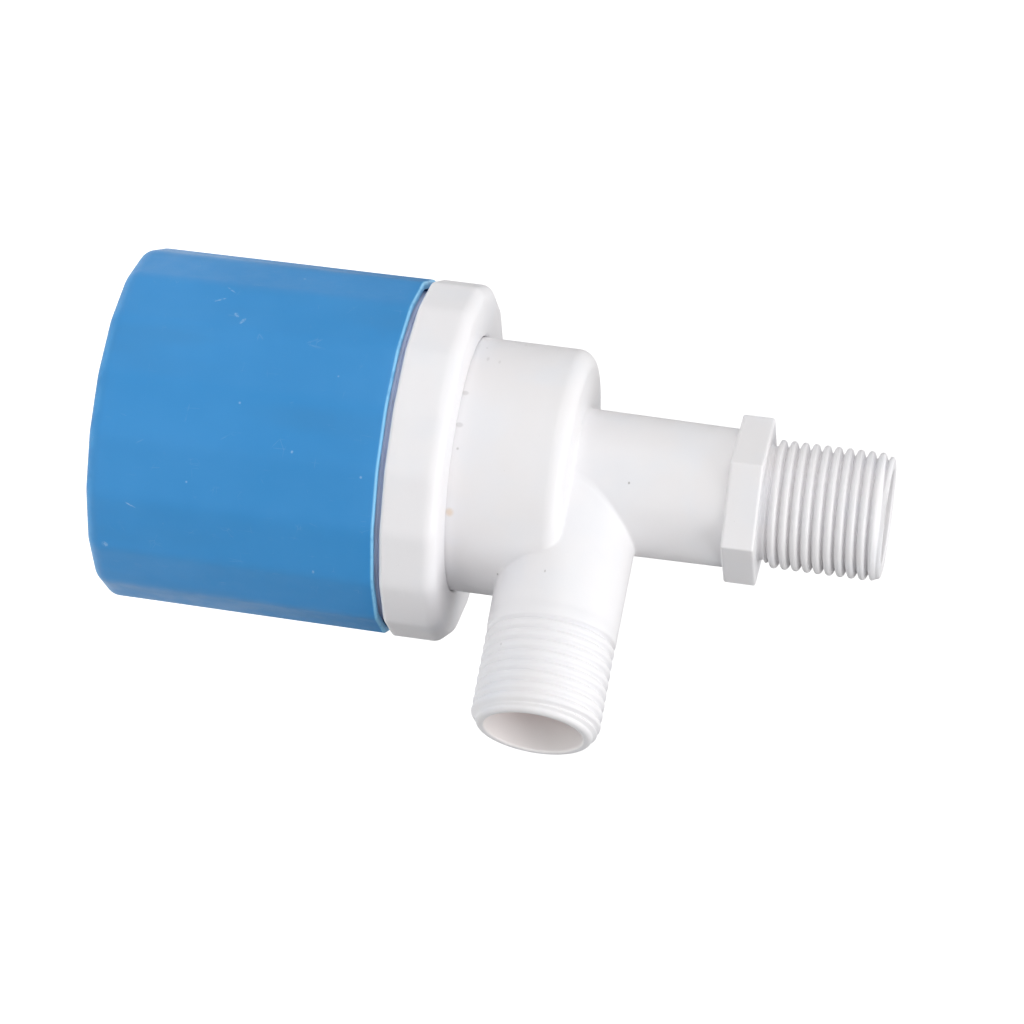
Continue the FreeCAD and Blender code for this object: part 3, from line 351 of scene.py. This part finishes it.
def body_distance(x, y, z):
    r = np.hypot(x, y)
    side = np.hypot(y, z)
    neck = rounded_both(r - NECK_R, z - NECK_TOP, NECK_ROUND)
    flange = rounded_both(r - FLANGE_R, z - FLANGE_TOP, radius=0.25)
    pipe_r = PIPE_R_LOW + (PIPE_R_HIGH - PIPE_R_LOW) * (z - NECK_TOP) / (HEX_LOW - NECK_TOP)
    pipe = np.maximum(r - pipe_r, z - HEX_LOW - 1.0)
    hexa = hexagon(x, y, HEX_FLATS / 2 - HEX_ROUND) - HEX_ROUND
    middle = (HEX_LOW + HEX_TOP) / 2
    hexa = rounded_both(hexa, np.abs(z - middle) - (HEX_TOP - HEX_LOW) / 2, HEX_ROUND)
    along = np.clip((x - BRANCH_TAPER_START) / (OUT_START - BRANCH_TAPER_START), 0, 1)
    branch_r = BRANCH_R_ROOT + (BRANCH_R_END - BRANCH_R_ROOT) * along
    branch = np.maximum(rounded_both(side - branch_r, x - OUT_START, radius=0.22), -x)
    d = rounded_union(neck, pipe, radius=0.35)
    d = rounded_union(d, branch, radius=0.28)
    d = rounded_union(d, hexa, radius=0.22)
    d = rounded_union(d, flange, radius=0.2)
    d = np.maximum(d, FLANGE_LOW - z)
    # hollows
    chamber = np.maximum(r - CHAMBER_R, z - CHAMBER_TOP)
    outlet = np.maximum(side - np.where(x > SIDE_STEP_X, BORE_OUT, SIDE_BORE), -x)
    groove = np.maximum(np.abs(r - GROOVE_R) - GROOVE_HALF, z - (FLANGE_LOW + GROOVE_DEEP))
    d = np.maximum(d, -np.minimum(chamber, outlet))
    d = np.maximum(d, -groove)
    # tube inside the chamber, narrowing to its lower end, and the upright bore through it
    tip_r = TUBE_TIP_R + (z + 7.0) / TUBE_TIP_LONG * 1.4
    tube_r = np.where(z < -5.4, tip_r, TUBE_R)
    tube = np.maximum(np.maximum(r - tube_r, TUBE_LOW - z), z - TUBE_HIGH)
    d = rounded_union(d, tube, radius=0.5)
    cone = np.minimum(BORE_MID + (z - BORE_CONE_Z) * BORE_CONE_SLOPE, BORE_IN)
    bore = np.where(z < BORE_MID_Z, BORE_LOW, np.where(z < BORE_CONE_Z, BORE_MID, cone))
    return np.maximum(d, -(r - bore))


def gradient(distance, points, reach):
    out = np.empty_like(points)
    for k in range(3):
        shift = np.zeros(3)
        shift[k] = reach
        out[:, k] = (distance(*(points + shift).T) - distance(*(points - shift).T)) / (2 * reach)
    return out


def surface(distance, low, high, step):
    """Surface nets over the distance on a grid, then each point moved onto the surface."""
    axes = [np.arange(a, b + step, step) for a, b in zip(low, high)]
    field = distance(*np.meshgrid(*axes, indexing="ij", copy=False)).astype(np.float32)
    solid = field < 0
    offsets = list(product((0, 1), repeat=3))
    total = np.zeros([n - 1 for n in field.shape], np.int8)
    for offset in offsets:
        total += solid[tuple(slice(d, n - 1 + d) for d, n in zip(offset, field.shape))]
    active = (total > 0) & (total < 8)
    ids = -np.ones(active.shape, np.int64)
    cells = np.argwhere(active)
    ids[active] = np.arange(len(cells))
    # one point per active cell: the mean of the crossings on its edges
    corners = {offset: field[tuple((cells + offset).T)] for offset in offsets}
    crossings = np.zeros((len(cells), 3))
    count = np.zeros(len(cells))
    for p, q in combinations(offsets, 2):
        if sum(abs(a - b) for a, b in zip(p, q)) != 1:
            continue
        a, b = corners[p], corners[q]
        crossed = (a < 0) != (b < 0)
        t = np.where(crossed, a / np.where(crossed, a - b, 1), 0)
        for k in range(3):
            crossings[:, k] += np.where(crossed, p[k] + t * (q[k] - p[k]), 0)
        count += crossed
    points = (cells + crossings / count[:, None]) * step + np.array([a[0] for a in axes])
    # one quad round each grid edge that crosses the surface
    quads = []
    for axis in range(3):
        before, after = [slice(None)] * 3, [slice(None)] * 3
        before[axis], after[axis] = slice(0, -1), slice(1, None)
        solid_before = solid[tuple(before)]
        u, v = [k for k in range(3) if k != axis]
        edges = np.argwhere(solid_before != solid[tuple(after)])
        clear = (edges[:, u] > 0) & (edges[:, v] > 0)
        clear &= (edges[:, u] < field.shape[u] - 1) & (edges[:, v] < field.shape[v] - 1)
        edges = edges[clear]
        keep = solid_before[tuple(edges.T)]
        if axis == 1:
            keep = ~keep
        around = []
        for back_u, back_v in ((1, 1), (0, 1), (0, 0), (1, 0)):
            cell = edges.copy()
            cell[:, u] -= back_u
            cell[:, v] -= back_v
            around.append(ids[tuple(cell.T)])
        quad = np.stack(around, 1)
        quad[~keep] = quad[~keep][:, ::-1]
        quads.append(quad)
    quads = np.concatenate(quads)
    quads = quads[(quads >= 0).all(1)]
    for _ in range(4):
        slope = gradient(distance, points, reach=0.02)
        value = distance(*points.T)
        move = slope * (value / np.maximum((slope**2).sum(1), 0.25))[:, None]
        length = np.linalg.norm(move, axis=1, keepdims=True)
        points = points - move * np.minimum(1, 0.3 * step / np.maximum(length, 1e-9))
    return points, quads


def vertex_normals(verts, quads):
    a, b, c, d = [verts[quads[:, k]] for k in range(4)]
    face_normals = np.cross(c - a, d - b)
    out = np.zeros_like(verts)
    for k in range(4):
        np.add.at(out, quads[:, k], face_normals)
    return out / np.maximum(np.linalg.norm(out, axis=1, keepdims=True), 1e-12)


def build_body():
    """Body skin and both threaded tubes, whose feet are sunk in it, as one mesh."""
    points, quads = surface(body_distance, (-25.5, -25.5, -24.2), (28.2, 25.5, 31.2), step=0.33)
    normals = gradient(body_distance, points, reach=0.05)
    normals /= np.maximum(np.linalg.norm(normals, axis=1, keepdims=True), 1e-9)
    inlet, inlet_quads = thread_tube(
        inlet_outside, foot=HEX_TOP - 0.5, end=INLET_END, bore=BORE_IN, tip=9.95, lip=0.60, lead=1.25)
    outlet, outlet_quads = thread_tube(
        outlet_outside, foot=OUT_START - 1.0, end=OUT_END, bore=BORE_OUT, tip=9.45, lip=0.75, lead=1.35)
    outlet = np.roll(outlet, 1, axis=1)  # from along Z to along X
    verts = np.concatenate([points, inlet, outlet])
    faces = np.concatenate([
        quads, inlet_quads + len(points), outlet_quads + len(points) + len(inlet)])
    normals = np.concatenate([
        normals, vertex_normals(inlet, inlet_quads), vertex_normals(outlet, outlet_quads)])
    return mesh_object("valve_body_skin", verts, faces, normals)


body = build_body()
cup = build_cup()
recalc(cup)
collar = build_collar()
recalc(collar)
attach(body, "valve")
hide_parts("valve_body")
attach(collar, "valve")
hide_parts("clamp_collar")
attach(cup, "float")
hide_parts("float_cup")


# -------------------------------------------------------------------- materials
def add_node(tree, kind, inputs=None, **settings):
    """Shader node with its properties set; inputs maps a socket to a value or to another socket."""
    node = tree.nodes.new("ShaderNode" + kind)
    for key, value in settings.items():
        setattr(node, key, value)
    fill_inputs(tree, node, inputs or {})
    return node


def fill_inputs(tree, node, inputs):
    for key, value in inputs.items():
        if isinstance(value, bpy.types.NodeSocket):
            tree.links.new(value, node.inputs[key])
        else:
            node.inputs[key].default_value = value


def map_range(tree, value, span, to):
    """Smooth step from to[0] to to[1] as the value crosses the span."""
    return add_node(tree, "MapRange", {
        "From Min": span[0], "From Max": span[1], "To Min": to[0], "To Max": to[1], "Value": value,
    }, interpolation_type="SMOOTHSTEP").outputs[0]


def linear(color):
    """sRGB 0-255 to linear RGBA."""
    shares = [c / 255 for c in color]
    return (*[c / 12.92 if c <= 0.04045 else ((c + 0.055) / 1.055) ** 2.4 for c in shares], 1.0)


class Material:
    """Node tree round one Principled shader. Coordinates are millimetres; colours are sRGB 0-255."""

    def __init__(self, name):
        self.data = bpy.data.materials.new(name)
        self.data.use_nodes = True
        self.tree = self.data.node_tree
        self.tree.nodes.clear()
        self.shader = self.node("BsdfPrincipled")
        self.node("OutputMaterial", {0: self.shader.outputs[0]})
        place = self.node("TexCoord").outputs["Object"]
        scaled = self.node("VectorMath", {0: place, 3: 1000.0}, operation="SCALE").outputs[0]
        lift = self.node("VectorMath", {0: scaled, 1: (0.0, 0.0, SEAT)}, operation="ADD")
        self.mm = lift.outputs[0]

    def node(self, kind, inputs=None, **settings):
        return add_node(self.tree, kind, inputs, **settings)

    def principled(self, inputs):
        fill_inputs(self.tree, self.shader, inputs)
        return self.data

    def math(self, operation, a, b=0.0, clamp=False):
        inputs = {0: a, 1: b, 2: 0.0}
        return self.node("Math", inputs, operation=operation, use_clamp=clamp).outputs[0]

    def times(self, a, b, clamp=False):
        return self.math("MULTIPLY", a, b, clamp)

    def larger(self, a, b, clamp=False):
        return self.math("MAXIMUM", a, b, clamp)

    def axes(self):
        return self.node("SeparateXYZ", {0: self.mm}).outputs

    def stretched(self, scale, turn=(0.0, 0.0, 0.0)):
        inputs = {"Rotation": turn, "Scale": scale, "Vector": self.mm}
        return self.node("Mapping", inputs).outputs[0]

    def noise(self, scale, detail=3.0, rough=0.5, stretch=None):
        vector = self.stretched(stretch) if stretch else self.mm
        return self.node("TexNoise", {
            "Scale": scale, "Detail": detail, "Roughness": rough, "Vector": vector,
        }).outputs["Fac"]

    def voronoi(self, scale, feature="F1", vector=None):
        inputs = {"Scale": scale, "Randomness": 1.0, "Vector": vector or self.mm}
        return self.node("TexVoronoi", inputs, feature=feature).outputs["Distance"]

    def ramp(self, value, span, to=(0.0, 1.0)):
        return map_range(self.tree, value, span, to)

    def mix(self, share, a, b):
        a, b = [linear(x) if isinstance(x, tuple) else x for x in (a, b)]
        return self.node("Mix", {0: share, 6: a, 7: b}, data_type="RGBA").outputs[2]

    def bump(self, height, depth, strength, over=None):
        """Bump of a depth in mm, laid over another normal if one is given."""
        inputs = {"Strength": strength, "Distance": depth * MM, "Height": height}
        if over is not None:
            inputs["Normal"] = over
        return self.node("Bump", inputs).outputs[0]

    def spot(self, centre, size, turn=(0, 0, 0)):
        """1 at the middle of an ellipsoid falling to 0 at its skin."""
        local = self.node("Mapping", vector_type="TEXTURE", inputs={
            "Location": centre, "Rotation": turn, "Scale": size, "Vector": self.mm}).outputs[0]
        return self.node("TexGradient", {"Vector": local}, gradient_type="SPHERICAL").outputs["Fac"]

    def specks(self, scale, size, patch_scale, patches):
        """Small dots, kept only where a slow noise is high."""
        dots = self.ramp(self.voronoi(scale), span=size)
        return self.times(dots, self.ramp(self.noise(patch_scale, detail=1.0), span=patches))

    def moulded(self, wave_scale, wave_bump, grain_scale, rough, grain_rough, marks, mark_bump):
        """Roughness and normal of a moulded skin. The bumps are a depth in mm and a strength."""
        grain = self.noise(grain_scale, detail=4.0, rough=0.6)
        wave = self.noise(wave_scale, detail=2.0)
        uneven = self.times(self.math("SUBTRACT", grain, 0.5), grain_rough)
        roughness = self.math("ADD", self.ramp(wave, span=(0.3, 0.7), to=rough), uneven)
        normal = self.bump(wave, *wave_bump)
        normal = self.bump(grain, depth=0.012, strength=0.8, over=normal)
        return roughness, self.bump(self.math("SUBTRACT", 1.0, marks), *mark_bump, normal)


# rubs on the cup's flats: centre, half size, turn (mm, radians)
SCUFFS = [
    ((-7.05, -28.18, -54.52), (0.95, 1.2, 0.40), (0.0, 0.5, 0.0)),
    ((-8.18, -27.76, -55.8), (0.5, 1.0, 0.75), (0.0, 0.9, 0.0)),
    ((-11.0, -26.71, -59.3), (1.5, 0.8, 0.16), (0.0, 1.1, 0.3)),
    ((-13.4, -25.83, -58.0), (0.16, 0.8, 1.3), (0.0, 0.5, 0.3)),
    ((-19.0, -21.81, -47.5), (0.3, 0.5, 0.3), (0.0, 0.0, 0.0)),
    ((13.59, -25.88, -42.6), (0.28, 0.5, 0.28), (0.0, 0.0, 0.0)),
    ((27.24, -10.78, -38.3), (0.4, 0.4, 0.3), (0.0, 0.0, 0.0)),
    ((27.1, -10.5, -72.8), (0.5, 0.7, 0.7), (0.0, 0.3, 0.0)),
    ((22.9, -17.9, -68.3), (0.15, 0.6, 1.4), (0.0, 0.4, 0.4)),
    ((20.0, 21.0, -44.0), (0.5, 0.8, 1.3), (0.3, 0.0, 0.6)),
    ((-21.0, 20.0, -60.0), (1.2, 1.0, 0.3), (0.0, 0.2, 0.2)),
    ((-28.8, 3.0, -37.0), (0.8, 0.5, 0.9), (0.5, 0.0, 0.0)),
]
# hairline scratches on the cup, two families: stretch, turn
SCRATCHES = [
    ((0.9, 0.9, 0.05), (0.35, 0.22, 0.0)),
    ((0.10, 0.5, 0.6), (1.05, 0.44, 0.6)),
]
# moulding marks on the white body: centre, half size, strength
MARKS = [
    ((4.48, -10.58, 9.23), (0.32, 0.32, 0.25), 0.5),
    ((21.61, -10.48, -1.49), (0.35, 0.35, 0.22), 0.32),
    ((20.53, -4.16, -9.85), (0.30, 0.35, 0.30), 0.55),
    ((34.12, -8.15, -6.58), (0.32, 0.35, 0.28), 0.2),
    ((-10.7, -18.0, -16.0), (0.9, 0.7, 0.35), 0.14),
    ((-10.3, -18.2, -14.0), (0.7, 0.6, 0.3), 0.12),
    ((-16.5, -12.8, -11.2), (0.5, 0.5, 0.3), 0.16),
    ((-2.9, -20.7, -18.1), (0.6, 0.6, 0.9), 0.20),
    ((2.8, -20.8, -18.0), (0.6, 0.6, 0.9), 0.20),
]


def body_marks_and_painted_bore_shade(m, color):
    """Painted shade inside the outlet's bore, warm-tinted, darker deeper in and toward its lower side;
    the moulding marks and one tan spot.
    """
    x, y, z = m.axes()
    squares = m.math("ADD", m.math("POWER", y, 2.0), m.math("POWER", z, 2.0))
    near_axis = m.ramp(m.math("SQRT", squares), span=(8.35, 8.0))
    inside = m.times(near_axis, m.ramp(x, span=(18.0, 22.0)))
    # painted shade: the bore's colour darkens deeper in and toward its lower side
    bore = m.mix(m.ramp(x, span=(33.0, 43.5)), (250, 237, 235), (254, 251, 250))
    bore = m.mix(m.ramp(z, span=(5.0, -6.0), to=(0.0, 0.18)), bore, (206, 186, 187))
    color = m.mix(inside, color, bore)
    for centre, size, strength in MARKS:
        mark = m.ramp(m.spot(centre, size), span=(0.1, 0.6), to=(0.0, strength))
        color = m.mix(mark, color, (118, 110, 106))
    tan = m.spot(centre=(15.3, -14.3, -17.9), size=(1.0, 1.2, 1.0))
    return m.mix(m.ramp(tan, span=(0.05, 0.8), to=(0.0, 0.5)), color, (226, 196, 160))


def white_plastic(name, base=(240, 239, 241), warm=(239, 237, 238), cool=(236, 237, 241),
                  rough=0.42, specks=0.9, tints=None):
    m = Material(name)
    color = m.mix(m.ramp(m.noise(scale=0.045, rough=0.55), span=(0.35, 0.65)), warm, base)
    cooler = m.ramp(m.noise(scale=0.11, detail=2.0), span=(0.45, 0.75), to=(0.0, 0.6))
    color = m.mix(cooler, color, cool)
    # tiny dark specks moulded into the surface
    coarse = m.specks(scale=0.16, size=(0.055, 0.02), patch_scale=0.07, patches=(0.54, 0.60))
    fine = m.specks(scale=0.55, size=(0.05, 0.02), patch_scale=0.3, patches=(0.62, 0.68))
    dirt = m.times(m.larger(coarse, m.times(fine, 0.5)), specks, clamp=True)
    color = m.mix(m.times(dirt, 0.45), color, (120, 112, 105))
    if tints:
        color = tints(m, color)
    roughness, normal = m.moulded(
        wave_scale=0.32, wave_bump=(0.05, 0.55), grain_scale=3.4,
        rough=(rough - 0.05, rough + 0.06), grain_rough=0.10, marks=dirt, mark_bump=(0.03, 0.6))
    return m.principled({
        "Base Color": color, "Roughness": roughness, "Normal": normal, "IOR": 1.49,
        "Subsurface Weight": 0.05, "Subsurface Radius": (1.0, 0.93, 0.90),
        "Subsurface Scale": 0.0008})


def blue_plastic(name):
    m = Material(name)
    slow = m.ramp(m.noise(scale=0.05, rough=0.55), span=(0.3, 0.7))
    color = m.mix(slow, (54, 141, 205), (60, 145, 209))
    band = m.noise(scale=0.12, detail=2.0, stretch=(1.0, 1.0, 0.25))
    color = m.mix(m.ramp(band, span=(0.5, 0.8), to=(0.0, 0.45)), color, (60, 135, 192))
    lines = []
    for stretch, turn in SCRATCHES:
        edge = m.voronoi(0.55, "DISTANCE_TO_EDGE", m.stretched(stretch, turn))
        patches = m.ramp(m.noise(scale=0.35, detail=2.0), span=(0.58, 0.74))
        lines.append(m.times(m.ramp(edge, span=(0.012, 0.0)), patches))
    scratches = reduce(m.larger, lines)
    scuffs = reduce(m.larger, [m.ramp(m.spot(*scuff), span=(0.05, 0.55)) for scuff in SCUFFS])
    broken = m.ramp(m.noise(scale=2.4, rough=0.7), span=(0.36, 0.60))
    rub = m.times(scuffs, broken, clamp=True)
    speck = m.specks(scale=0.22, size=(0.06, 0.025), patch_scale=0.09, patches=(0.55, 0.62))
    worn = m.larger(m.times(scratches, 0.13), m.times(rub, 0.42), clamp=True)
    worn = m.larger(worn, m.times(speck, 0.35))
    # painted highlights: paler at the lip and at the foot's rounded edge, unevenly
    z = m.axes()[2]
    uneven = m.ramp(m.noise(scale=0.5, detail=2.0), span=(0.25, 0.5), to=(0.55, 1.0))
    color = m.mix(m.times(m.ramp(z, span=(-29.05, -28.72)), uneven), color, (140, 208, 250))
    uneven = m.ramp(m.noise(scale=0.35, detail=2.0), span=(0.35, 0.6), to=(0.1, 0.5))
    color = m.mix(m.times(m.ramp(z, span=(-74.2, -75.4)), uneven), color, (84, 168, 226))
    color = m.mix(worn, color, (186, 214, 236))
    roughness, normal = m.moulded(
        wave_scale=0.26, wave_bump=(0.06, 0.6), grain_scale=2.8,
        rough=(0.33, 0.43), grain_rough=0.12, marks=scratches, mark_bump=(0.02, 0.5))
    return m.principled({
        "Base Color": color, "Normal": normal, "IOR": 1.45, "Specular IOR Level": 0.38,
        "Roughness": m.math("ADD", roughness, m.times(worn, 0.25), clamp=True),
        "Subsurface Weight": 0.06, "Subsurface Radius": (0.3, 0.7, 1.0),
        "Subsurface Scale": 0.0012})


def plain_plastic(name, dark, light, rough):
    m = Material(name)
    grain = m.noise(scale=3.0, detail=4.0, rough=0.6)
    wave = m.bump(m.noise(scale=0.35, detail=2.0), depth=0.05, strength=0.5)
    return m.principled({
        "Base Color": m.mix(m.ramp(m.noise(scale=0.09), span=(0.35, 0.65)), dark, light),
        "Roughness": m.ramp(grain, span=(0.3, 0.7), to=(rough - 0.07, rough + 0.07)),
        "Normal": m.bump(grain, depth=0.015, strength=0.8, over=wave),
        "Subsurface Weight": 0.05, "Subsurface Scale": 0.001})


def foam(name):
    m = Material(name)
    cells = m.voronoi(1.3, "DISTANCE_TO_EDGE")
    return m.principled({
        "Base Color": m.mix(m.ramp(cells, span=(0.0, 0.18)), (205, 200, 188), (234, 232, 224)),
        "Roughness": m.ramp(m.noise(scale=1.0), span=(0.3, 0.7), to=(0.78, 0.92)),
        "Normal": m.bump(m.ramp(cells, span=(0.0, 0.25)), depth=0.12, strength=0.9)})


def rubber(name):
    m = Material(name)
    slow = m.ramp(m.noise(scale=0.6), span=(0.3, 0.7))
    grain = m.noise(scale=6.0, detail=4.0, rough=0.65)
    return m.principled({
        "Base Color": m.mix(slow, (22, 22, 23), (38, 37, 36)),
        "Roughness": m.ramp(grain, span=(0.3, 0.7), to=(0.62, 0.8)),
        "Normal": m.bump(grain, depth=0.02, strength=0.9)})


def metal(name, dark, light, rough):
    m = Material(name)
    brush = m.noise(scale=2.2, detail=4.0, rough=0.6, stretch=(0.25, 0.25, 9.0))
    return m.principled({
        "Base Color": m.mix(m.ramp(m.noise(scale=0.4), span=(0.35, 0.7)), dark, light),
        "Metallic": 1.0,
        "Roughness": m.ramp(brush, span=(0.25, 0.75), to=(rough - 0.08, rough + 0.12)),
        "Normal": m.bump(brush, depth=0.012, strength=0.8)})


MATERIALS = {
    "body_white": white_plastic("body_white_nylon", tints=body_marks_and_painted_bore_shade),
    "collar_white": white_plastic(
        "collar_white_nylon", base=(241, 240, 242), warm=(240, 238, 240), rough=0.40, specks=0.7),
    # painted reflection: the white nylon is tinted lavender-blue to stand in for blue light bounced from
    # the cup into the shaded gap
    "housing_white": white_plastic(
        "housing_nylon_painted_blue_reflection", base=(216, 226, 253), warm=(214, 222, 250), cool=(208, 222, 254),
        rough=0.5),
    "cup_blue": blue_plastic("cup_blue_polypropylene"),
    "core_foam": foam("core_foam"),
    "inner_plastic": plain_plastic("inner_acetal", (206, 208, 210), (222, 222, 222), rough=0.42),
    "seal_rubber": rubber("seal_rubber"),
    "steel": metal("stainless_steel", (168, 170, 172), (196, 197, 198), rough=0.28),
    "brass": metal("turned_brass", (186, 148, 80), (208, 172, 104), rough=0.25),
}
slots = {part["node"]: part["material_slot"] for part in frame["record"]["subparts"]}
for node_name, ob in frame["nodes"].items():
    ob.data.materials.clear()
    ob.data.materials.append(MATERIALS[slots[node_name]])
for ob, slot in ((body, "body_white"), (collar, "collar_white"), (cup, "cup_blue")):
    ob.data.materials.append(MATERIALS[slot])

# ------------------------------------------------------------ camera and studio
# the view's right, up and toward-the-viewer directions in the frame
VIEW = np.array([
    [-0.176342863331233, 0.07725614024556769, 0.98129235365741],
    [-0.9003332427595171, -0.4156203473274344, -0.1290727657933902],
    [0.3978734051608308, -0.9062511879615829, 0.14284795337681733],
])
RIGHT, UP, TOWARD = VIEW
# the outlet axis's height-zero point as the camera sees it, mm
VIEW_CENTRE = np.array([11.350570509270478, 5.491145315051851, -731.2588325832135])


def along(up, toward, right):
    return up * UP + toward * TOWARD + right * RIGHT


def build_camera():
    world_to_camera = np.eye(4)
    world_to_camera[:3, :3] = VIEW
    world_to_camera[:3, 3] = (VIEW_CENTRE + VIEW @ np.array([0.0, 0.0, SEAT])) * MM
    data = bpy.data.cameras.new("camera")
    data.sensor_width = 36.0
    data.lens = 157.23305684778312
    data.clip_start, data.clip_end = 0.05, 50
    camera = add_object("camera", data)
    camera.matrix_world = Matrix(np.linalg.inv(world_to_camera).tolist())
    bpy.context.scene.camera = camera


def area(name, direction, distance, size, power, target=(0, 0, -0.045)):
    direction = Vector(direction / np.linalg.norm(direction))
    light = bpy.data.lights.new(name, "AREA")
    light.shape = "SQUARE"
    light.size = size
    light.energy = power
    ob = add_object(name, light)
    ob.location = Vector(target) + direction * distance
    ob.rotation_mode = "QUATERNION"
    ob.rotation_quaternion = direction.to_track_quat("Z", "Y")


def build_world():
    """Soft white surround, lighter toward the top of the view; plain white to the camera."""
    world = bpy.data.worlds.new("studio")
    bpy.context.scene.world = world
    world.use_nodes = True
    tree = world.node_tree
    tree.nodes.clear()
    direction = add_node(tree, "TexCoord").outputs["Generated"]
    light_from = tuple(along(up=0.86, toward=0.46, right=0.10).tolist())
    dot = add_node(tree, "VectorMath", {0: direction, 1: light_from}, operation="DOT_PRODUCT")
    strength = map_range(tree, dot.outputs["Value"], span=(-1.0, 0.15), to=(0.03, 1.0))
    lit = add_node(tree, "Background", {"Strength": strength})
    seen = add_node(tree, "Background", {"Color": (1, 1, 1, 1)})
    is_camera = add_node(tree, "LightPath").outputs["Is Camera Ray"]
    mixed = add_node(tree, "MixShader", {0: is_camera, 1: lit.outputs[0], 2: seen.outputs[0]})
    add_node(tree, "OutputWorld", {0: mixed.outputs[0]})


def floor_material():
    """Pale and glowing to the camera; to other rays it darkens away from the middle."""
    material = bpy.data.materials.new("floor_pale")
    material.use_nodes = True
    tree = material.node_tree
    tree.nodes.clear()

    def glowing(color, emission):
        diffuse = add_node(tree, "BsdfDiffuse", {"Color": color}).outputs[0]
        glow = add_node(tree, "Emission", {"Color": (1, 1, 1, 1), "Strength": emission}).outputs[0]
        return add_node(tree, "AddShader", {0: diffuse, 1: glow}).outputs[0]

    seen = glowing((0.8, 0.8, 0.8, 1), 0.62)
    place = add_node(tree, "NewGeometry").outputs["Position"]
    away = add_node(tree, "VectorMath", {0: place}, operation="LENGTH").outputs["Value"]
    near = map_range(tree, away, span=(0.25, 0.75), to=(0.68, 0.10))
    grey = add_node(tree, "CombineColor", {0: near, 1: near, 2: near}).outputs[0]
    glow = add_node(tree, "Math", {0: near, 1: 0.4}, operation="MULTIPLY").outputs[0]
    lit = glowing(grey, glow)
    is_camera = add_node(tree, "LightPath").outputs["Is Camera Ray"]
    mixed = add_node(tree, "MixShader", {0: is_camera, 1: lit, 2: seen})
    add_node(tree, "OutputMaterial", {0: mixed.outputs[0]})
    return material


def build_floor():
    """Plain square, clear of the float at the bottom of its travel."""
    half, z = 30, -0.165
    mesh = bpy.data.meshes.new("floor")
    corners = [(-half, -half, z), (half, -half, z), (half, half, z), (-half, half, z)]
    mesh.from_pydata(corners, [], [(0, 1, 2, 3)])
    floor = add_object("floor", mesh)
    mesh.materials.append(floor_material())
    return floor


build_camera()
area("key", along(up=0.80, toward=0.70, right=0.10), distance=1.1, size=0.8, power=2.7)
area("fill", along(up=-0.18, toward=0.95, right=-0.35), distance=1.3, size=1.0, power=3.5)
area("side", along(up=-0.42, toward=0.50, right=1.0), distance=0.7, size=0.5, power=2.6,
     target=(0, 0, 0.015))
area("left", along(up=0.05, toward=0.60, right=-1.0), distance=1.2, size=0.8, power=8.0)
build_world()
floor = build_floor()

bpy.context.scene.view_settings.view_transform = "Standard"
